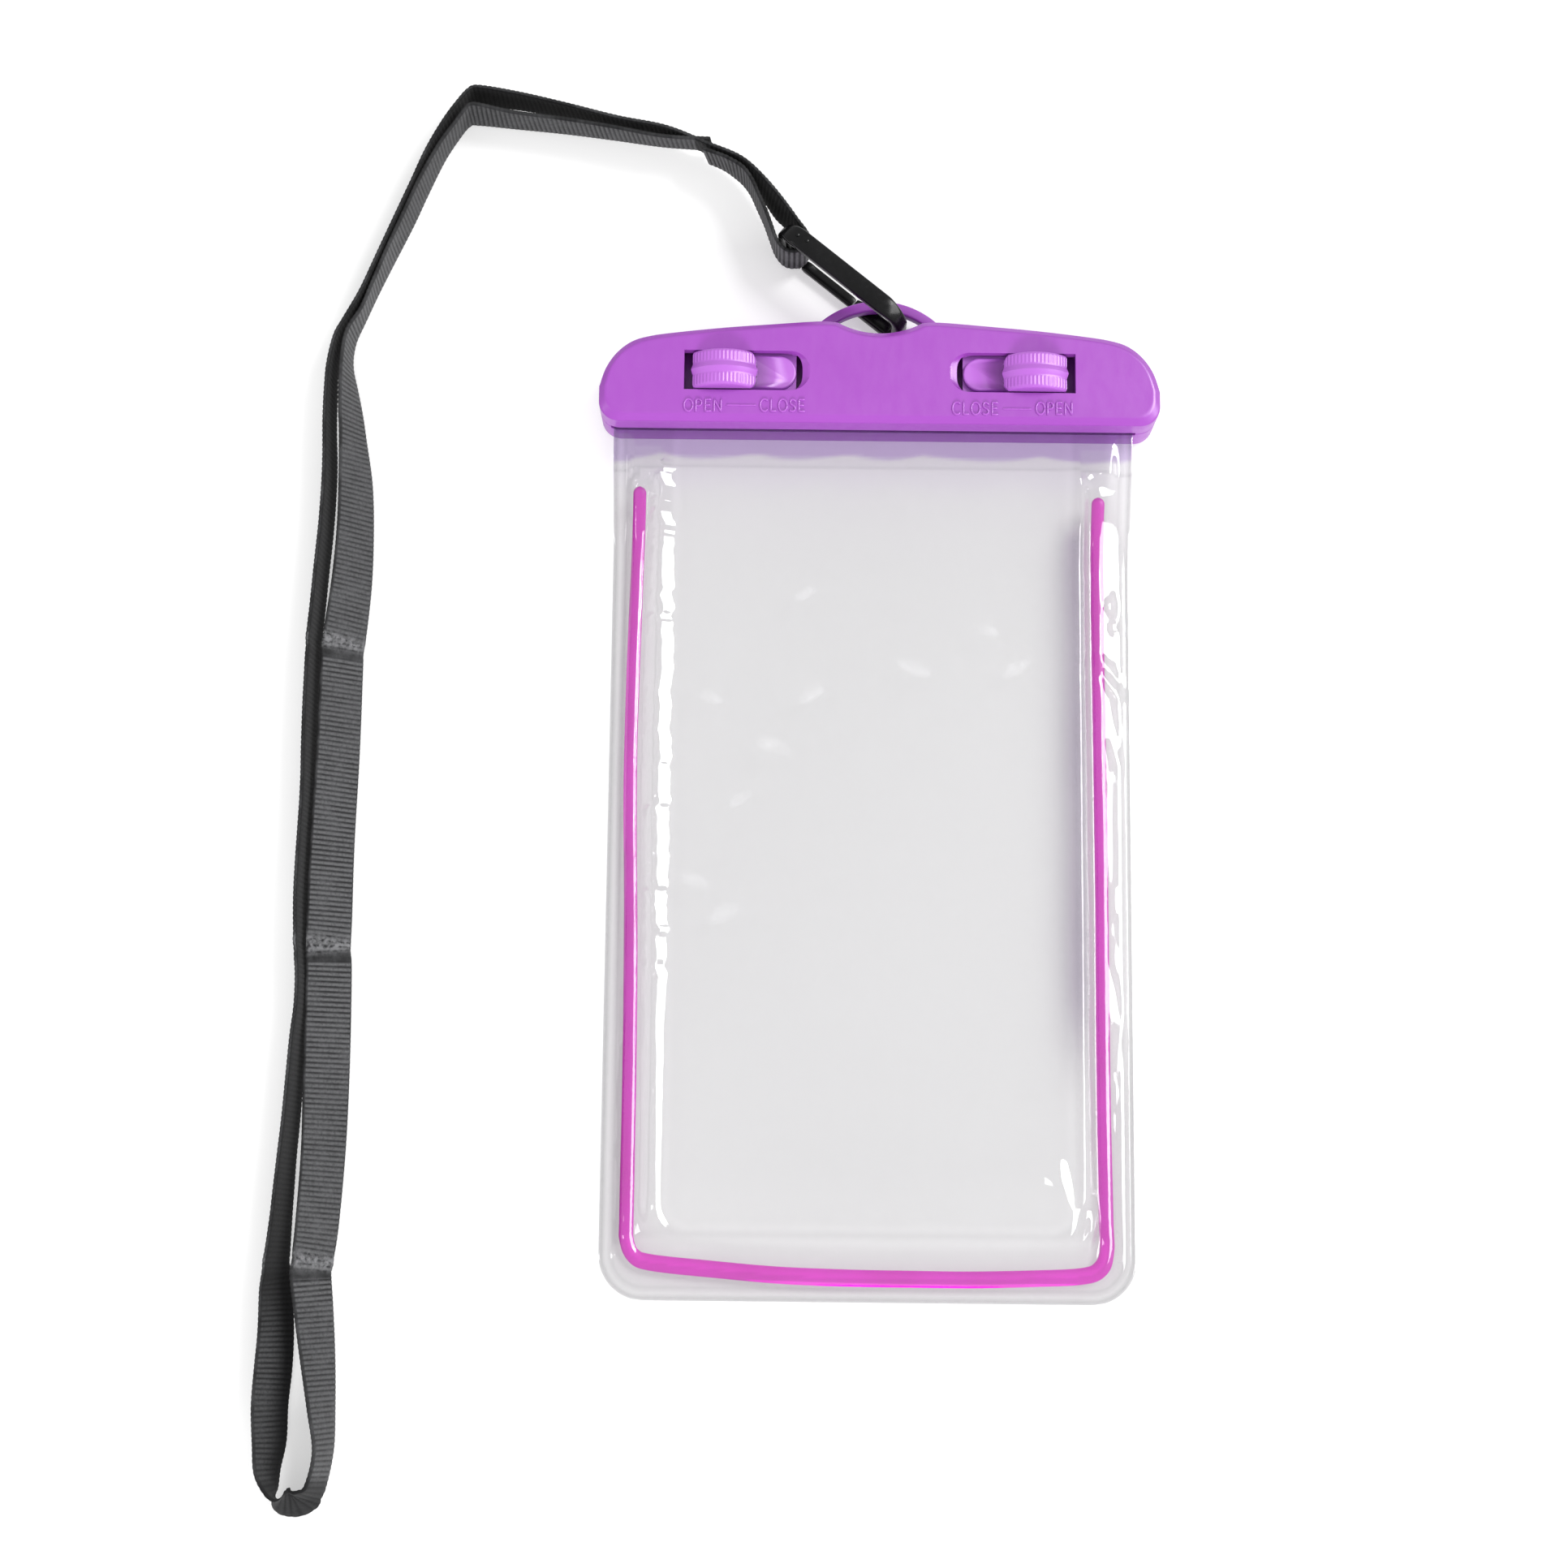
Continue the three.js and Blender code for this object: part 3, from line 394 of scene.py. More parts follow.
def film_material(name, front):
    """Clear soft film: tinted see-through, a faint milky haze and a wet gloss; the tint carries painted shade and
    reflection bands, and the front sheet has milky patches painted as reflections of glare.
    """
    n = Nodes(name)
    tint = n.attribute("tint").outputs["Color"]
    haze = n.attribute("haze").outputs["Fac"]
    ripple = n.noise(55.0, 2.0, 0.5, n.coords(scale=(1.0, 0.6, 1.0)))
    fine = n.noise(420.0, 2.0, 0.55)
    height = n.math("ADD", n.math("MULTIPLY", ripple, 1.0), n.math("MULTIPLY", fine, 0.05))
    normal = n.bump(height, 0.00045 if front else 0.0002, 0.35)
    see = n.add("ShaderNodeBsdfTransparent")
    n.link(tint, see.inputs["Color"])
    milk = n.add("ShaderNodeBsdfDiffuse")
    milk.inputs["Color"].default_value = (0.90, 0.90, 0.92, 1)
    amount = haze
    # painted reflections: milky patches at the listed spots on the front sheet
    if front:
        glare_spots = None
        for k, (px, py) in enumerate(GLARE_SPOTS):
            p = place(px, py, 5.6) * MM
            a = 0.55 if k % 2 else -0.35
            size = 0.0034 + 0.0007 * (k % 3)
            tc = n.add("ShaderNodeTexCoord")
            mp = n.add("ShaderNodeMapping", vector_type="TEXTURE")
            mp.inputs["Location"].default_value = (p.x, p.y, p.z)
            mp.inputs["Rotation"].default_value = (0, 0, a)
            mp.inputs["Scale"].default_value = (size, size * 0.45, 0.02)
            n.link(tc.outputs["Object"], mp.inputs["Vector"])
            g = n.add("ShaderNodeTexGradient", gradient_type="SPHERICAL")
            n.link(mp.outputs["Vector"], g.inputs["Vector"])
            glare_spots = g.outputs["Fac"] if glare_spots is None else n.math("ADD", glare_spots, g.outputs["Fac"])
        glare_patches = n.math("MULTIPLY", n.rng(glare_spots, 0.0, 0.10, 0.05, 0.6), n.rng(n.noise(600.0, 3.0), 0.3, 1.0, 0.35, 0.7))
        amount = n.math("ADD", amount, glare_patches)
    body = n.add("ShaderNodeMixShader")
    n.link(amount, body.inputs[0])
    n.link(see.outputs[0], body.inputs[1])
    n.link(milk.outputs[0], body.inputs[2])
    gloss = n.add("ShaderNodeBsdfGlossy")
    gloss.inputs["Color"].default_value = (1, 1, 1, 1)
    gloss.inputs["Roughness"].default_value = 0.05
    n.link(normal, gloss.inputs["Normal"])
    fres = n.add("ShaderNodeFresnel")
    fres.inputs["IOR"].default_value = 1.52
    n.link(normal, fres.inputs["Normal"])
    geo = n.add("ShaderNodeNewGeometry")
    outer = n.math("SUBTRACT", 1.0, geo.outputs["Backfacing"])
    skin = n.add("ShaderNodeMixShader")
    n.link(n.math("MULTIPLY", fres.outputs[0], outer), skin.inputs[0])
    n.link(body.outputs[0], skin.inputs[1])
    n.link(gloss.outputs[0], skin.inputs[2])
    n.link(skin.outputs[0], n.out.inputs["Surface"])
    return n.mat


BEAD_MAT, CLIP_MAT, WEB_MAT = bead_material(), clip_material(), webbing_material()
FILM_FRONT, FILM_BACK = film_material("front_film_clear", True), film_material("back_film_clear", False)


def dress(o, mat):
    o.data.materials.clear()
    o.data.materials.append(mat)
    return o


def values(o, name, vals):
    """A number or a colour at each vertex."""
    v = np.asarray(vals, np.float32)
    if v.ndim == 1:
        a = o.data.attributes.new(name, "FLOAT", "POINT")
        a.data.foreach_set("value", v)
    else:
        a = o.data.attributes.new(name, "FLOAT_COLOR", "POINT")
        a.data.foreach_set("color", np.c_[v, np.ones(len(v), np.float32)].ravel())


# -------------------------------------------------------------- neck strap
# Stations along the webbing: centre, then the direction of its width (mm).
STRAP = [
    (-36.60, 134.20, 6.90, 0.000, -0.120, 0.993),
    (-33.39, 132.81, 7.20, 0.000, -0.100, 0.995),
    (-30.90, 131.30, 7.50, 0.000, -0.050, 0.999),
    (-28.50, 129.40, 7.70, 0.000, 0.000, 1.000),
    (-26.80, 127.00, 7.80, 0.000, 0.000, 1.000),
    (-25.40, 123.90, 7.80, 0.000, 0.000, 1.000),
    (-23.80, 120.20, 7.80, 0.000, 0.000, 1.000),
    (-22.60, 116.80, 7.80, 0.000, 0.000, 1.000),
    (-21.30, 113.40, 7.80, 0.000, 0.000, 1.000),
    (-19.10, 111.30, 7.80, 0.000, 0.000, 1.000),
    (-16.00, 111.70, 7.80, 0.000, 0.000, 1.000),
    (-15.00, 114.50, 7.80, 0.000, 0.000, 1.000),
    (-17.40, 118.10, 7.80, 0.000, 0.000, 1.000),
    (-20.90, 122.00, 7.80, 0.120, 0.060, 0.991),
    (-24.90, 127.40, 7.70, 0.050, 0.030, 0.998),
    (-29.20, 131.90, 7.40, 0.000, -0.050, 0.999),
    (-35.71, 135.51, 6.90, -0.043, -0.150, 0.988),
    (-44.73, 139.37, 6.58, -0.038, -0.152, 0.988),
    (-55.04, 141.50, 6.18, -0.033, -0.135, 0.990),
    (-65.55, 144.16, 5.76, -0.027, -0.101, 0.995),
    (-76.12, 146.55, 5.31, -0.011, -0.051, 0.999),
    (-84.50, 147.59, 5.30, 0.002, 0.017, 1.000),
    (-86.54, 147.04, 5.30, -0.000, 0.000, 1.000),
    (-88.52, 144.53, 5.30, -0.014, 0.010, 1.000),
    (-91.44, 140.11, 5.30, -0.015, 0.009, 1.000),
    (-94.92, 133.62, 5.30, -0.000, 0.000, 1.000),
    (-97.73, 126.43, 5.30, -0.016, 0.007, 1.000),
    (-101.10, 118.30, 5.30, -0.016, 0.007, 1.000),
    (-104.51, 110.14, 5.30, -0.016, 0.007, 1.000),
    (-107.72, 102.58, 5.30, -0.000, 0.000, 1.000),
    (-111.05, 96.14, 5.30, -0.000, 0.000, 1.000),
    (-112.66, 92.78, 5.30, -0.000, 0.000, 1.000),
    (-113.61, 86.97, 5.30, -0.035, 0.004, 0.999),
    (-113.72, 81.58, 5.31, -0.070, 0.002, 0.998),
    (-113.71, 74.81, 5.32, -0.087, -0.001, 0.996),
    (-113.41, 67.38, 5.33, -0.105, -0.002, 0.995),
    (-113.40, 60.64, 5.33, -0.105, 0.002, 0.995),
    (-113.67, 52.64, 5.33, -0.104, 0.005, 0.995),
    (-114.24, 44.01, 5.33, -0.104, 0.006, 0.995),
    (-114.66, 36.03, 5.33, -0.104, 0.006, 0.995),
    (-115.11, 28.60, 5.33, -0.104, 0.003, 0.995),
    (-115.28, 16.51, 5.33, -0.105, 0.000, 0.995),
    (-115.21, 6.75, 5.33, -0.105, -0.001, 0.995),
    (-115.14, -2.96, 5.33, -0.105, 0.002, 0.995),
    (-115.66, -22.20, 5.33, -0.105, 0.000, 0.995),
    (-115.16, -34.38, 5.33, -0.104, -0.006, 0.995),
    (-114.71, -39.49, 5.33, -0.104, -0.004, 0.995),
    (-114.70, -45.82, 5.33, -0.104, 0.004, 0.995),
    (-115.16, -52.12, 5.34, -0.122, 0.008, 0.993),
    (-115.43, -58.93, 5.35, -0.139, 0.008, 0.990),
    (-115.86, -67.71, 5.36, -0.156, 0.011, 0.988),
    (-116.39, -75.19, 5.38, -0.173, 0.014, 0.985),
    (-116.75, -81.94, 5.41, -0.207, 0.016, 0.978),
    (-117.06, -88.63, 5.45, -0.241, 0.023, 0.970),
    (-117.56, -97.28, 5.30, -0.340, 0.041, 0.940),
    (-117.48, -101.47, 5.01, -0.469, 0.026, 0.883),
    (-117.25, -109.85, 4.79, -0.544, 0.021, 0.839),
    (-117.49, -116.95, 4.64, -0.587, 0.027, 0.809),
    (-117.81, -123.74, 4.75, -0.559, -0.012, 0.829),
    (-117.60, -130.60, 4.85, -0.498, -0.020, 0.867),
    (-117.80, -136.30, 5.10, -0.319, -0.020, 0.947),
    (-116.80, -140.30, 5.30, -0.100, 0.120, 0.988),
    (-115.35, -142.25, 5.02, 0.041, 0.405, 0.914),
    (-112.22, -142.21, 4.50, 0.000, 0.588, 0.809),
    (-110.81, -141.53, 4.69, -0.160, 0.505, 0.848),
    (-109.75, -140.97, 5.09, -0.283, 0.245, 0.927),
    (-108.29, -139.27, 5.30, -0.226, 0.087, 0.970),
    (-107.01, -132.34, 5.27, -0.225, 0.014, 0.974),
    (-107.73, -124.05, 5.10, -0.375, -0.008, 0.927),
    (-108.99, -113.52, 4.74, -0.544, -0.031, 0.839),
    (-110.18, -104.34, 4.42, -0.641, -0.053, 0.766),
    (-110.87, -99.13, 4.26, -0.682, -0.023, 0.731),
    (-110.70, -95.78, 4.21, -0.690, 0.077, 0.719),
    (-110.12, -89.31, 3.98, -0.740, 0.063, 0.669),
    (-109.42, -74.37, 3.80, -0.776, 0.037, 0.629),
    (-109.49, -58.05, 3.40, -0.839, 0.001, 0.545),
    (-109.77, -38.50, 3.47, -0.828, -0.049, 0.559),
    (-110.11, -33.63, 3.67, -0.798, -0.030, 0.602),
    (-110.13, -28.70, 3.47, -0.829, -0.002, 0.559),
    (-110.00, -10.92, 3.67, -0.799, 0.008, 0.602),
    (-109.52, 8.82, 3.80, -0.777, 0.016, 0.629),
    (-109.48, 27.45, 3.86, -0.766, 0.013, 0.643),
    (-109.15, 30.49, 3.86, -0.763, 0.072, 0.643),
    (-108.07, 41.40, 4.15, -0.707, 0.015, 0.707),
    (-107.68, 52.01, 4.47, -0.629, -0.013, 0.777),
    (-107.96, 62.61, 4.70, -0.555, -0.066, 0.829),
    (-108.85, 72.13, 5.05, -0.400, -0.074, 0.914),
    (-109.52, 77.65, 5.15, -0.335, -0.068, 0.940),
    (-110.17, 83.25, 5.27, -0.220, -0.049, 0.974),
    (-110.65, 89.06, 5.32, -0.070, -0.005, 0.998),
    (-109.96, 94.18, 5.31, -0.017, 0.004, 1.000),
    (-107.67, 98.96, 5.32, 0.065, -0.025, 0.998),
    (-105.32, 104.97, 5.32, 0.048, -0.020, 0.999),
    (-102.16, 112.69, 5.30, -0.000, 0.000, 1.000),
    (-98.84, 120.49, 5.31, -0.032, 0.014, 0.999),
    (-96.08, 127.22, 5.31, -0.032, 0.014, 0.999),
    (-92.42, 134.89, 5.31, 0.016, -0.008, 1.000),
    (-89.32, 139.84, 5.32, 0.044, -0.028, 0.999),
    (-87.25, 142.74, 5.31, 0.027, -0.023, 0.999),
    (-85.31, 143.51, 5.32, 0.003, 0.052, 0.999),
    (-77.03, 142.28, 5.32, -0.005, -0.052, 0.999),
    (-66.47, 140.89, 5.72, -0.011, -0.086, 0.996),
    (-55.92, 139.29, 6.12, -0.017, -0.121, 0.993),
    (-45.45, 137.46, 6.51, -0.031, -0.171, 0.985),
    (-35.41, 136.74, 6.90, -0.030, -0.159, 0.987),
]


def build_strap():
    rows = catmull(STRAP, 12)
    p = rows[:, :3]
    d = np.r_[0, np.cumsum(np.linalg.norm(np.diff(p, axis=0), axis=1))]
    total = d[-1]
    pitch, per = 1.02, 4
    n = int(total / pitch * per)
    t = np.linspace(0, total, n + 1)
    rows = np.stack([np.interp(t, d, rows[:, k]) for k in range(6)], 1)
    ker = np.hanning(9)
    ker /= ker.sum()
    sm = rows.copy()
    for k in range(6):
        sm[4:-4, k] = np.convolve(rows[:, k], ker, "valid")
    rows = sm
    c, u = rows[:, :3], rows[:, 3:]
    phase = (t / pitch) % 1.0
    rib = np.sqrt(np.clip(1 - (2 * phase - 1) ** 2, 0, 1))
    # fold marks pressed across both runs
    marks = []
    for y0 in (29.0, -33.0, -96.0):
        for side in (0, 1):
            run = np.where((c[:, 0] > -112.2) == bool(side))[0]
            run = run[(np.abs(c[run, 1] - y0) < 25)]
            if len(run):
                marks.append((t[run[np.argmin(np.abs(c[run, 1] - y0))]], 1.0 if side else 0.55))
    fold_band = np.zeros(len(t))
    push = np.zeros(len(t))
    painted_shade_band = np.zeros(len(t))
    for s0, k in marks:
        # a paler band along each fold mark, stronger on one run
        fold_band = np.maximum(fold_band, k * np.exp(-((t - s0) / 1.5) ** 2))
        i0 = int(np.argmin(np.abs(t - s0)))
        down = 1.0 if c[min(len(c) - 1, i0 + 10)][1] < c[i0][1] else -1.0
        push += 0.22 * k * (np.exp(-((t - s0) / 1.0) ** 2) - 0.55 * np.exp(-((t - s0 - 2.2 * down) / 0.9) ** 2))
        # painted shade: a dark line in the groove just below each fold mark
        painted_shade_band += 0.8 * k * np.exp(-((t - s0 - 2.7 * down) / 0.75) ** 2)
    tang = np.gradient(c, axis=0)
    tang /= np.linalg.norm(tang, axis=1)[:, None]
    u = u - (u * tang).sum(1)[:, None] * tang
    u /= np.linalg.norm(u, axis=1)[:, None]
    v = np.cross(tang, u)
    wob = np.array([noise.noise(Vector((s * 0.055, 3.1, 0.7))) for s in t])
    cup = np.array([noise.noise(Vector((s * 0.021, 7.7, 1.9))) for s in t])
    across = [(5.0, 0.30), (4.86, 0.84), (4.5, 1.0), (3.0, 1.0), (1.5, 1.0), (0.0, 1.0), (-1.5, 1.0), (-3.0, 1.0), (-4.5, 1.0), (-4.86, 0.84), (-5.0, 0.30)]
    section = across + [(w, -h) for w, h in reversed(across)]
    # the inside of the long fold: the face turned to the other run
    mid = np.argmin(np.abs(c[:, 1] + 60) + 1000 * (c[:, 0] < -112))
    inside = 1.0 if v[mid][0] < 0 else -1.0
    # how strong the painted rib shade is: varies along the strap, strongest just below each fold mark
    rib_shade_strength = np.array([0.45 + 0.55 * float(smooth(0.5 + 1.4 * noise.noise(Vector((s * 0.016, 5.5, 2.2))))) for s in t])
    for s0, k in marks:
        i0 = int(np.argmin(np.abs(t - s0)))
        below = (c[:, 1] < c[i0, 1]) & (np.abs(t - s0) < 24)
        rib_shade_strength = np.maximum(rib_shade_strength, below * np.exp(-((t - s0) / 13.0) ** 2))
    verts, rib_shades, fold_bands, inner_shades, rib_shade_strengths = [], [], [], [], []
    for i in range(len(t)):
        half = 0.30 + 0.14 * rib[i]
        o = push[i] + 0.10 * wob[i]
        low = c[i][2] - 5.0 * abs(u[i][2])
        for w, h in section:
            bow = 0.22 * cup[i] * ((w / 5.0) ** 2 - 0.35)
            ww = w * (1 + 0.006 * (rib[i] - 0.5))
            q = c[i] + u[i] * ww + v[i] * (h * half + o + bow)
            q[2] = max(q[2], 0.12)
            verts.append(q)
            # the rib value drives the painted groove shade and rib-top highlight, weaker at the edges and dimmed in
            # each fold's painted shade line
            edge = 1.0 if abs(w) < 4.7 else 0.55
            rib_shades.append(rib[i] * edge * (1.0 - min(0.9, painted_shade_band[i])))
            fold_bands.append(fold_band[i])
            # painted shade: the face turned to the other run is darkened (less along the lower edge of the left run's
            # bottom), the bottom bend is darkened, and it darkens slightly towards the clip end
            dim = 1.0 if h * inside > 0.4 else 0.0
            dim *= 1.0 - 0.62 * float(smooth((-98.0 - c[i][1]) / 18.0) * smooth((w * u[i][2] + 3.0) / 4.5))
            inner_shades.append(max(dim, 0.86 * float(smooth((-136.4 - c[i][1]) / 3.0)), 0.22 * float(smooth((c[i][1] - 112.0) / 8.0))))
            rib_shade_strengths.append(rib_shade_strength[i])
    ns = len(section)
    faces = []
    for i in range(len(t) - 1):
        for j in range(ns):
            k = (j + 1) % ns
            faces.append((i * ns + j, i * ns + k, (i + 1) * ns + k, (i + 1) * ns + j))
    faces.append(tuple(reversed(range(ns))))
    faces.append(tuple(range((len(t) - 1) * ns, len(t) * ns)))
    o = make("webbing_neck_strap", verts, faces, sharp=None)
    values(o, "rib", rib_shades)
    values(o, "fold_band", fold_bands)
    values(o, "inner", inner_shades)
    values(o, "rib_shade_strength", rib_shade_strengths)
    dress(o, WEB_MAT)
    return o, c[::8], total


strap, strap_path, strap_len = build_strap()
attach(strap, "pouch")
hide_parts("neck_strap")


# ---------------------------------------------------------------- snap clip
CLIP = dict(len=33.0, zl=1.45, zu=14.3, bar=2.3, wide=2.7, nose=3.0, shank=4.1, r=5.6)


CLIP_TURN = math.radians(141.0)


def clip_plan(s):
    c, d = math.cos(CLIP_TURN), math.sin(CLIP_TURN)
    return 5.0 + c * s, 95.5 + d * s, d, -c


def clip_path():
    c, out = CLIP, []
    k = c["bar"] / 2
    s0, s1, r = k, c["len"] - k, c["r"] - k
    for s in np.linspace(12.8, s0 + r, 10):
        out.append((s, c["zl"]))
    for a in range(262, 179, -8):
        out.append((s0 + r + r * math.cos(math.radians(a)), c["zl"] + r + r * math.sin(math.radians(a))))
    for a in range(180, 89, -9):
        out.append((s0 + r + r * math.cos(math.radians(a)), c["zu"] - r + r * math.sin(math.radians(a))))
    for s in np.linspace(s0 + r + 1, s1 - r - 1, 22):
        out.append((s, c["zu"]))
    for a in range(90, -1, -9):
        out.append((s1 - r + r * math.cos(math.radians(a)), c["zu"] - r + r * math.sin(math.radians(a))))
    for a in range(0, -86, -9):
        out.append((s1 - r + r * math.cos(math.radians(a)), c["zl"] + r + r * math.sin(math.radians(a))))
    for s in np.linspace(s1 - r, 26.9, 5):
        out.append((s, c["zl"]))
    return out


def sweep_clip(name, path, size):
    pts, ups = [], []
    for s, z in path:
        x, y, nx, ny = clip_plan(s)
        pts.append((x, y, z))
        ups.append((nx, ny, 0))
    return loft(name, tube_rings(pts, ups, lambda i, n: oval(*size(i, *path[i], n), 20, 0.42)), sharp=40)


def hook_size(i, s, z, n):
    w = CLIP["nose"] if s < 12 else CLIP["wide"]
    k = float(smooth((z - 8) / 4.5) * smooth((s - 1) / 5) * smooth((32.2 - s) / 3))
    w = w + (CLIP["shank"] - w) * k
    if z < 10 and s > 25:
        w = 2.4
    end = min(i, n - 1 - i)
    taper = 0.86 if end == 0 else 1.0
    return w / 2 * taper, CLIP["bar"] / 2 * taper


hook = sweep_clip("snap_clip_body", clip_path(), hook_size)
bits = [hook]
for s, off in ((26.3, 0.35), (28.6, 0.1)):
    x, y, nx, ny = clip_plan(s)
    bits.append(loft("dot", [[(x + nx * off + 0.42 * r * math.cos(a), y + ny * off + 0.42 * r * math.sin(a), CLIP["zu"] + 1.02 + h)
                              for a in np.linspace(0, 2 * math.pi, 16, endpoint=False)] for h, r in ((0, 1.0), (0.24, 0.92), (0.32, 0.55))]))
hook = join("snap_clip_body", bits)
dress(hook, CLIP_MAT)
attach(hook, "pouch")
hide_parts("clip_hook")

gate = sweep_clip("snap_clip_gate", [(s, CLIP["zl"]) for s in np.linspace(26.5, 13.15, 18)],
                  lambda i, s, z, n: ((1.15 if 0 < i < n - 1 else 1.0), (1.0 if i < 3 else 0.8) * (1.0 if 0 < i < n - 1 else 0.8)))
dress(gate, CLIP_MAT)
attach(gate, "clip_gate")
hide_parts("clip_gate")

# sewing that closes the strap's loop
STITCH_MAT = moulded("stitch_thread", (0.020, 0.020, 0.022), (0.034, 0.034, 0.036), rough=0.7, grain=4000.0)


def stitches():
    rows = np.array(STRAP)
    bits = []
    for i0, sgn in ((0, 1),):
        for s in (1.2, 2.6, 4.0):
            a, b = rows[0], rows[1]
            t = (b - a)[:3] / np.linalg.norm((b - a)[:3])
            w = rows[0, 3:] / np.linalg.norm(rows[0, 3:])
            n = np.cross(t, w)
            base = a[:3] + t * s
            for k in range(-3, 4):
                c0 = base + w * (k * 1.25) + n * (-0.50)
                pts = [c0 - w * 0.45 + n * 0.12, c0 - w * 0.3 - n * 0.08, c0 - n * 0.14, c0 + w * 0.3 - n * 0.08, c0 + w * 0.45 + n * 0.12]
                bits.append(loft("st", tube_rings(pts, [t] * 5, lambda i, m: oval(0.13, 0.13, 8)), sharp=None))
    o = join("strap_stitches", bits)
    return dress(o, STITCH_MAT)


st = stitches()
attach(st, "pouch")

# -------------------------------------------------------------------- clamp
HALF_W, Y0 = 57.5, 74.0
REAR_Z, FRONT_Z = (0.0, 7.6), (7.9, 14.4)


def outline(inset):
    """The clamp's outline, counter-clockwise, pulled in by inset (mm)."""
    r, cy, half = 17.8, 111.1, 8.6
    w, y0, t = HALF_W - inset, Y0 + inset, -inset
    a0 = math.asin(half / r)
    pts = []
    for i in range(17):
        a = a0 * i / 16
        pts.append(((r + inset) * math.sin(a), cy - (r + inset) * math.cos(a)))
    ctrl = [(pts[-1][0], pts[-1][1]), (12.4, 95.75 + t), (22.4, 95.0 + t), (32.4, 94.15 + t), (42.4, 93.0 + t),
            (47.4 - inset * 0.2, 92.2 + t), (51.0 - inset * 0.6, 91.0 + t * 0.9), (54.0 - inset * 0.7, 88.6 + t * 0.6),
            (56.2 - inset * 0.9, 85.3 + t * 0.3), (w, 81.3)]
    cur = catmull(ctrl, 6)
    pts += [tuple(q) for q in cur[1:]]
    for i in range(1, 3):
        pts.append((w, 81.3 + (y0 + 4.2 - 81.3) * i / 3))
    for i in range(13):
        a = -math.pi / 2 * i / 12
        pts.append((w - 4.2 + 4.2 * math.cos(a), y0 + 4.2 + 4.2 * math.sin(a)))
    for x in (45, 36, 27, 18, 9):
        pts.append((x, y0))
    left = [(-x, y) for x, y in pts[1:]]
    ring = list(reversed(pts))
    return ring + left + [(0.0, y0)]


def plate(name, levels):
    rings = [[(x, y, z) for x, y in outline(i)] for i, z in levels]
    n = len(rings[0])
    verts = [p for r in rings for p in r]
    faces = []
    for k in range(len(rings) - 1):
        for i in range(n):
            j = (i + 1) % n
            faces.append((k * n + i, k * n + j, (k + 1) * n + j, (k + 1) * n + i))
    faces.append(tuple(reversed(range(n))))
    faces.append(tuple(range((len(rings) - 1) * n, len(rings) * n)))
    return make(name, verts, faces)


def stadium(s, end, r, y0, y1, outer, power=2.0, n=28):
    cy, cx = (y0 + y1) / 2, end + r
    pts = []
    for i in range(n + 1):
        a = math.pi / 2 + math.pi * i / n
        ca, sa = math.cos(a), math.sin(a)
        pts.append((cx + r * math.copysign(abs(ca) ** (2 / power), ca), cy + (y1 - y0) / 2 * math.copysign(abs(sa) ** (2 / power), sa)))
    pts += [(outer, y0), (outer, y1)]
    ring = [(s * x, y) for x, y in pts]
    return ring if s > 0 else ring[::-1]


def film_relief(name, z0, z1):
    return box(name, -55.2, 53.0, 73.0, 78.6, z0, z1)


def front_jaw():
    z0, z1 = FRONT_Z
    o = plate("front_jaw_shell", [(0.10, z0 - 0.08), (0.0, z0 + 0.05), (0.0, z1 - 1.35), (0.07, z1 - 1.12), (0.25, z1 - 0.92),
                                  (1.02, z1 - 0.20), (1.22, z1 - 0.06), (1.50, z1), (1.75, z1)])
    for s in (-1, 1):
        def bx(a, b, *r):
            x = sorted((s * a, s * b))
            return box("c", x[0], x[1], *r)
        boolean(o, bx(5.0, 40.9, 79.2, 90.3, 7.0, 12.3), "DIFFERENCE")
        boolean(o, bx(5.0, 40.1, 80.9, 88.5, 11.8, 13.5), "DIFFERENCE")
        Y = (80.5, 88.9)
        rings = []
        for end, r, z, pw in ((16.2, 3.8, 12.0, 3.0), (16.2, 3.8, 13.30, 3.0), (15.6, 3.9, 13.62, 2.6), (14.9, 4.05, 13.95, 2.3), (14.2, 4.2, 14.42, 2.0), (14.2, 4.2, 14.8, 2.0)):
            rings.append([(x, y, z) for x, y in stadium(s, end, r, *Y, 40.1, pw)])
        boolean(o, loft("slot", rings), "DIFFERENCE")
    boolean(o, film_relief("r", 7.0, 8.5), "DIFFERENCE")
    clean(o)
    bevel(o, 0.18, 2, 40)
    shade(o, 38, weighted=True)
    return o


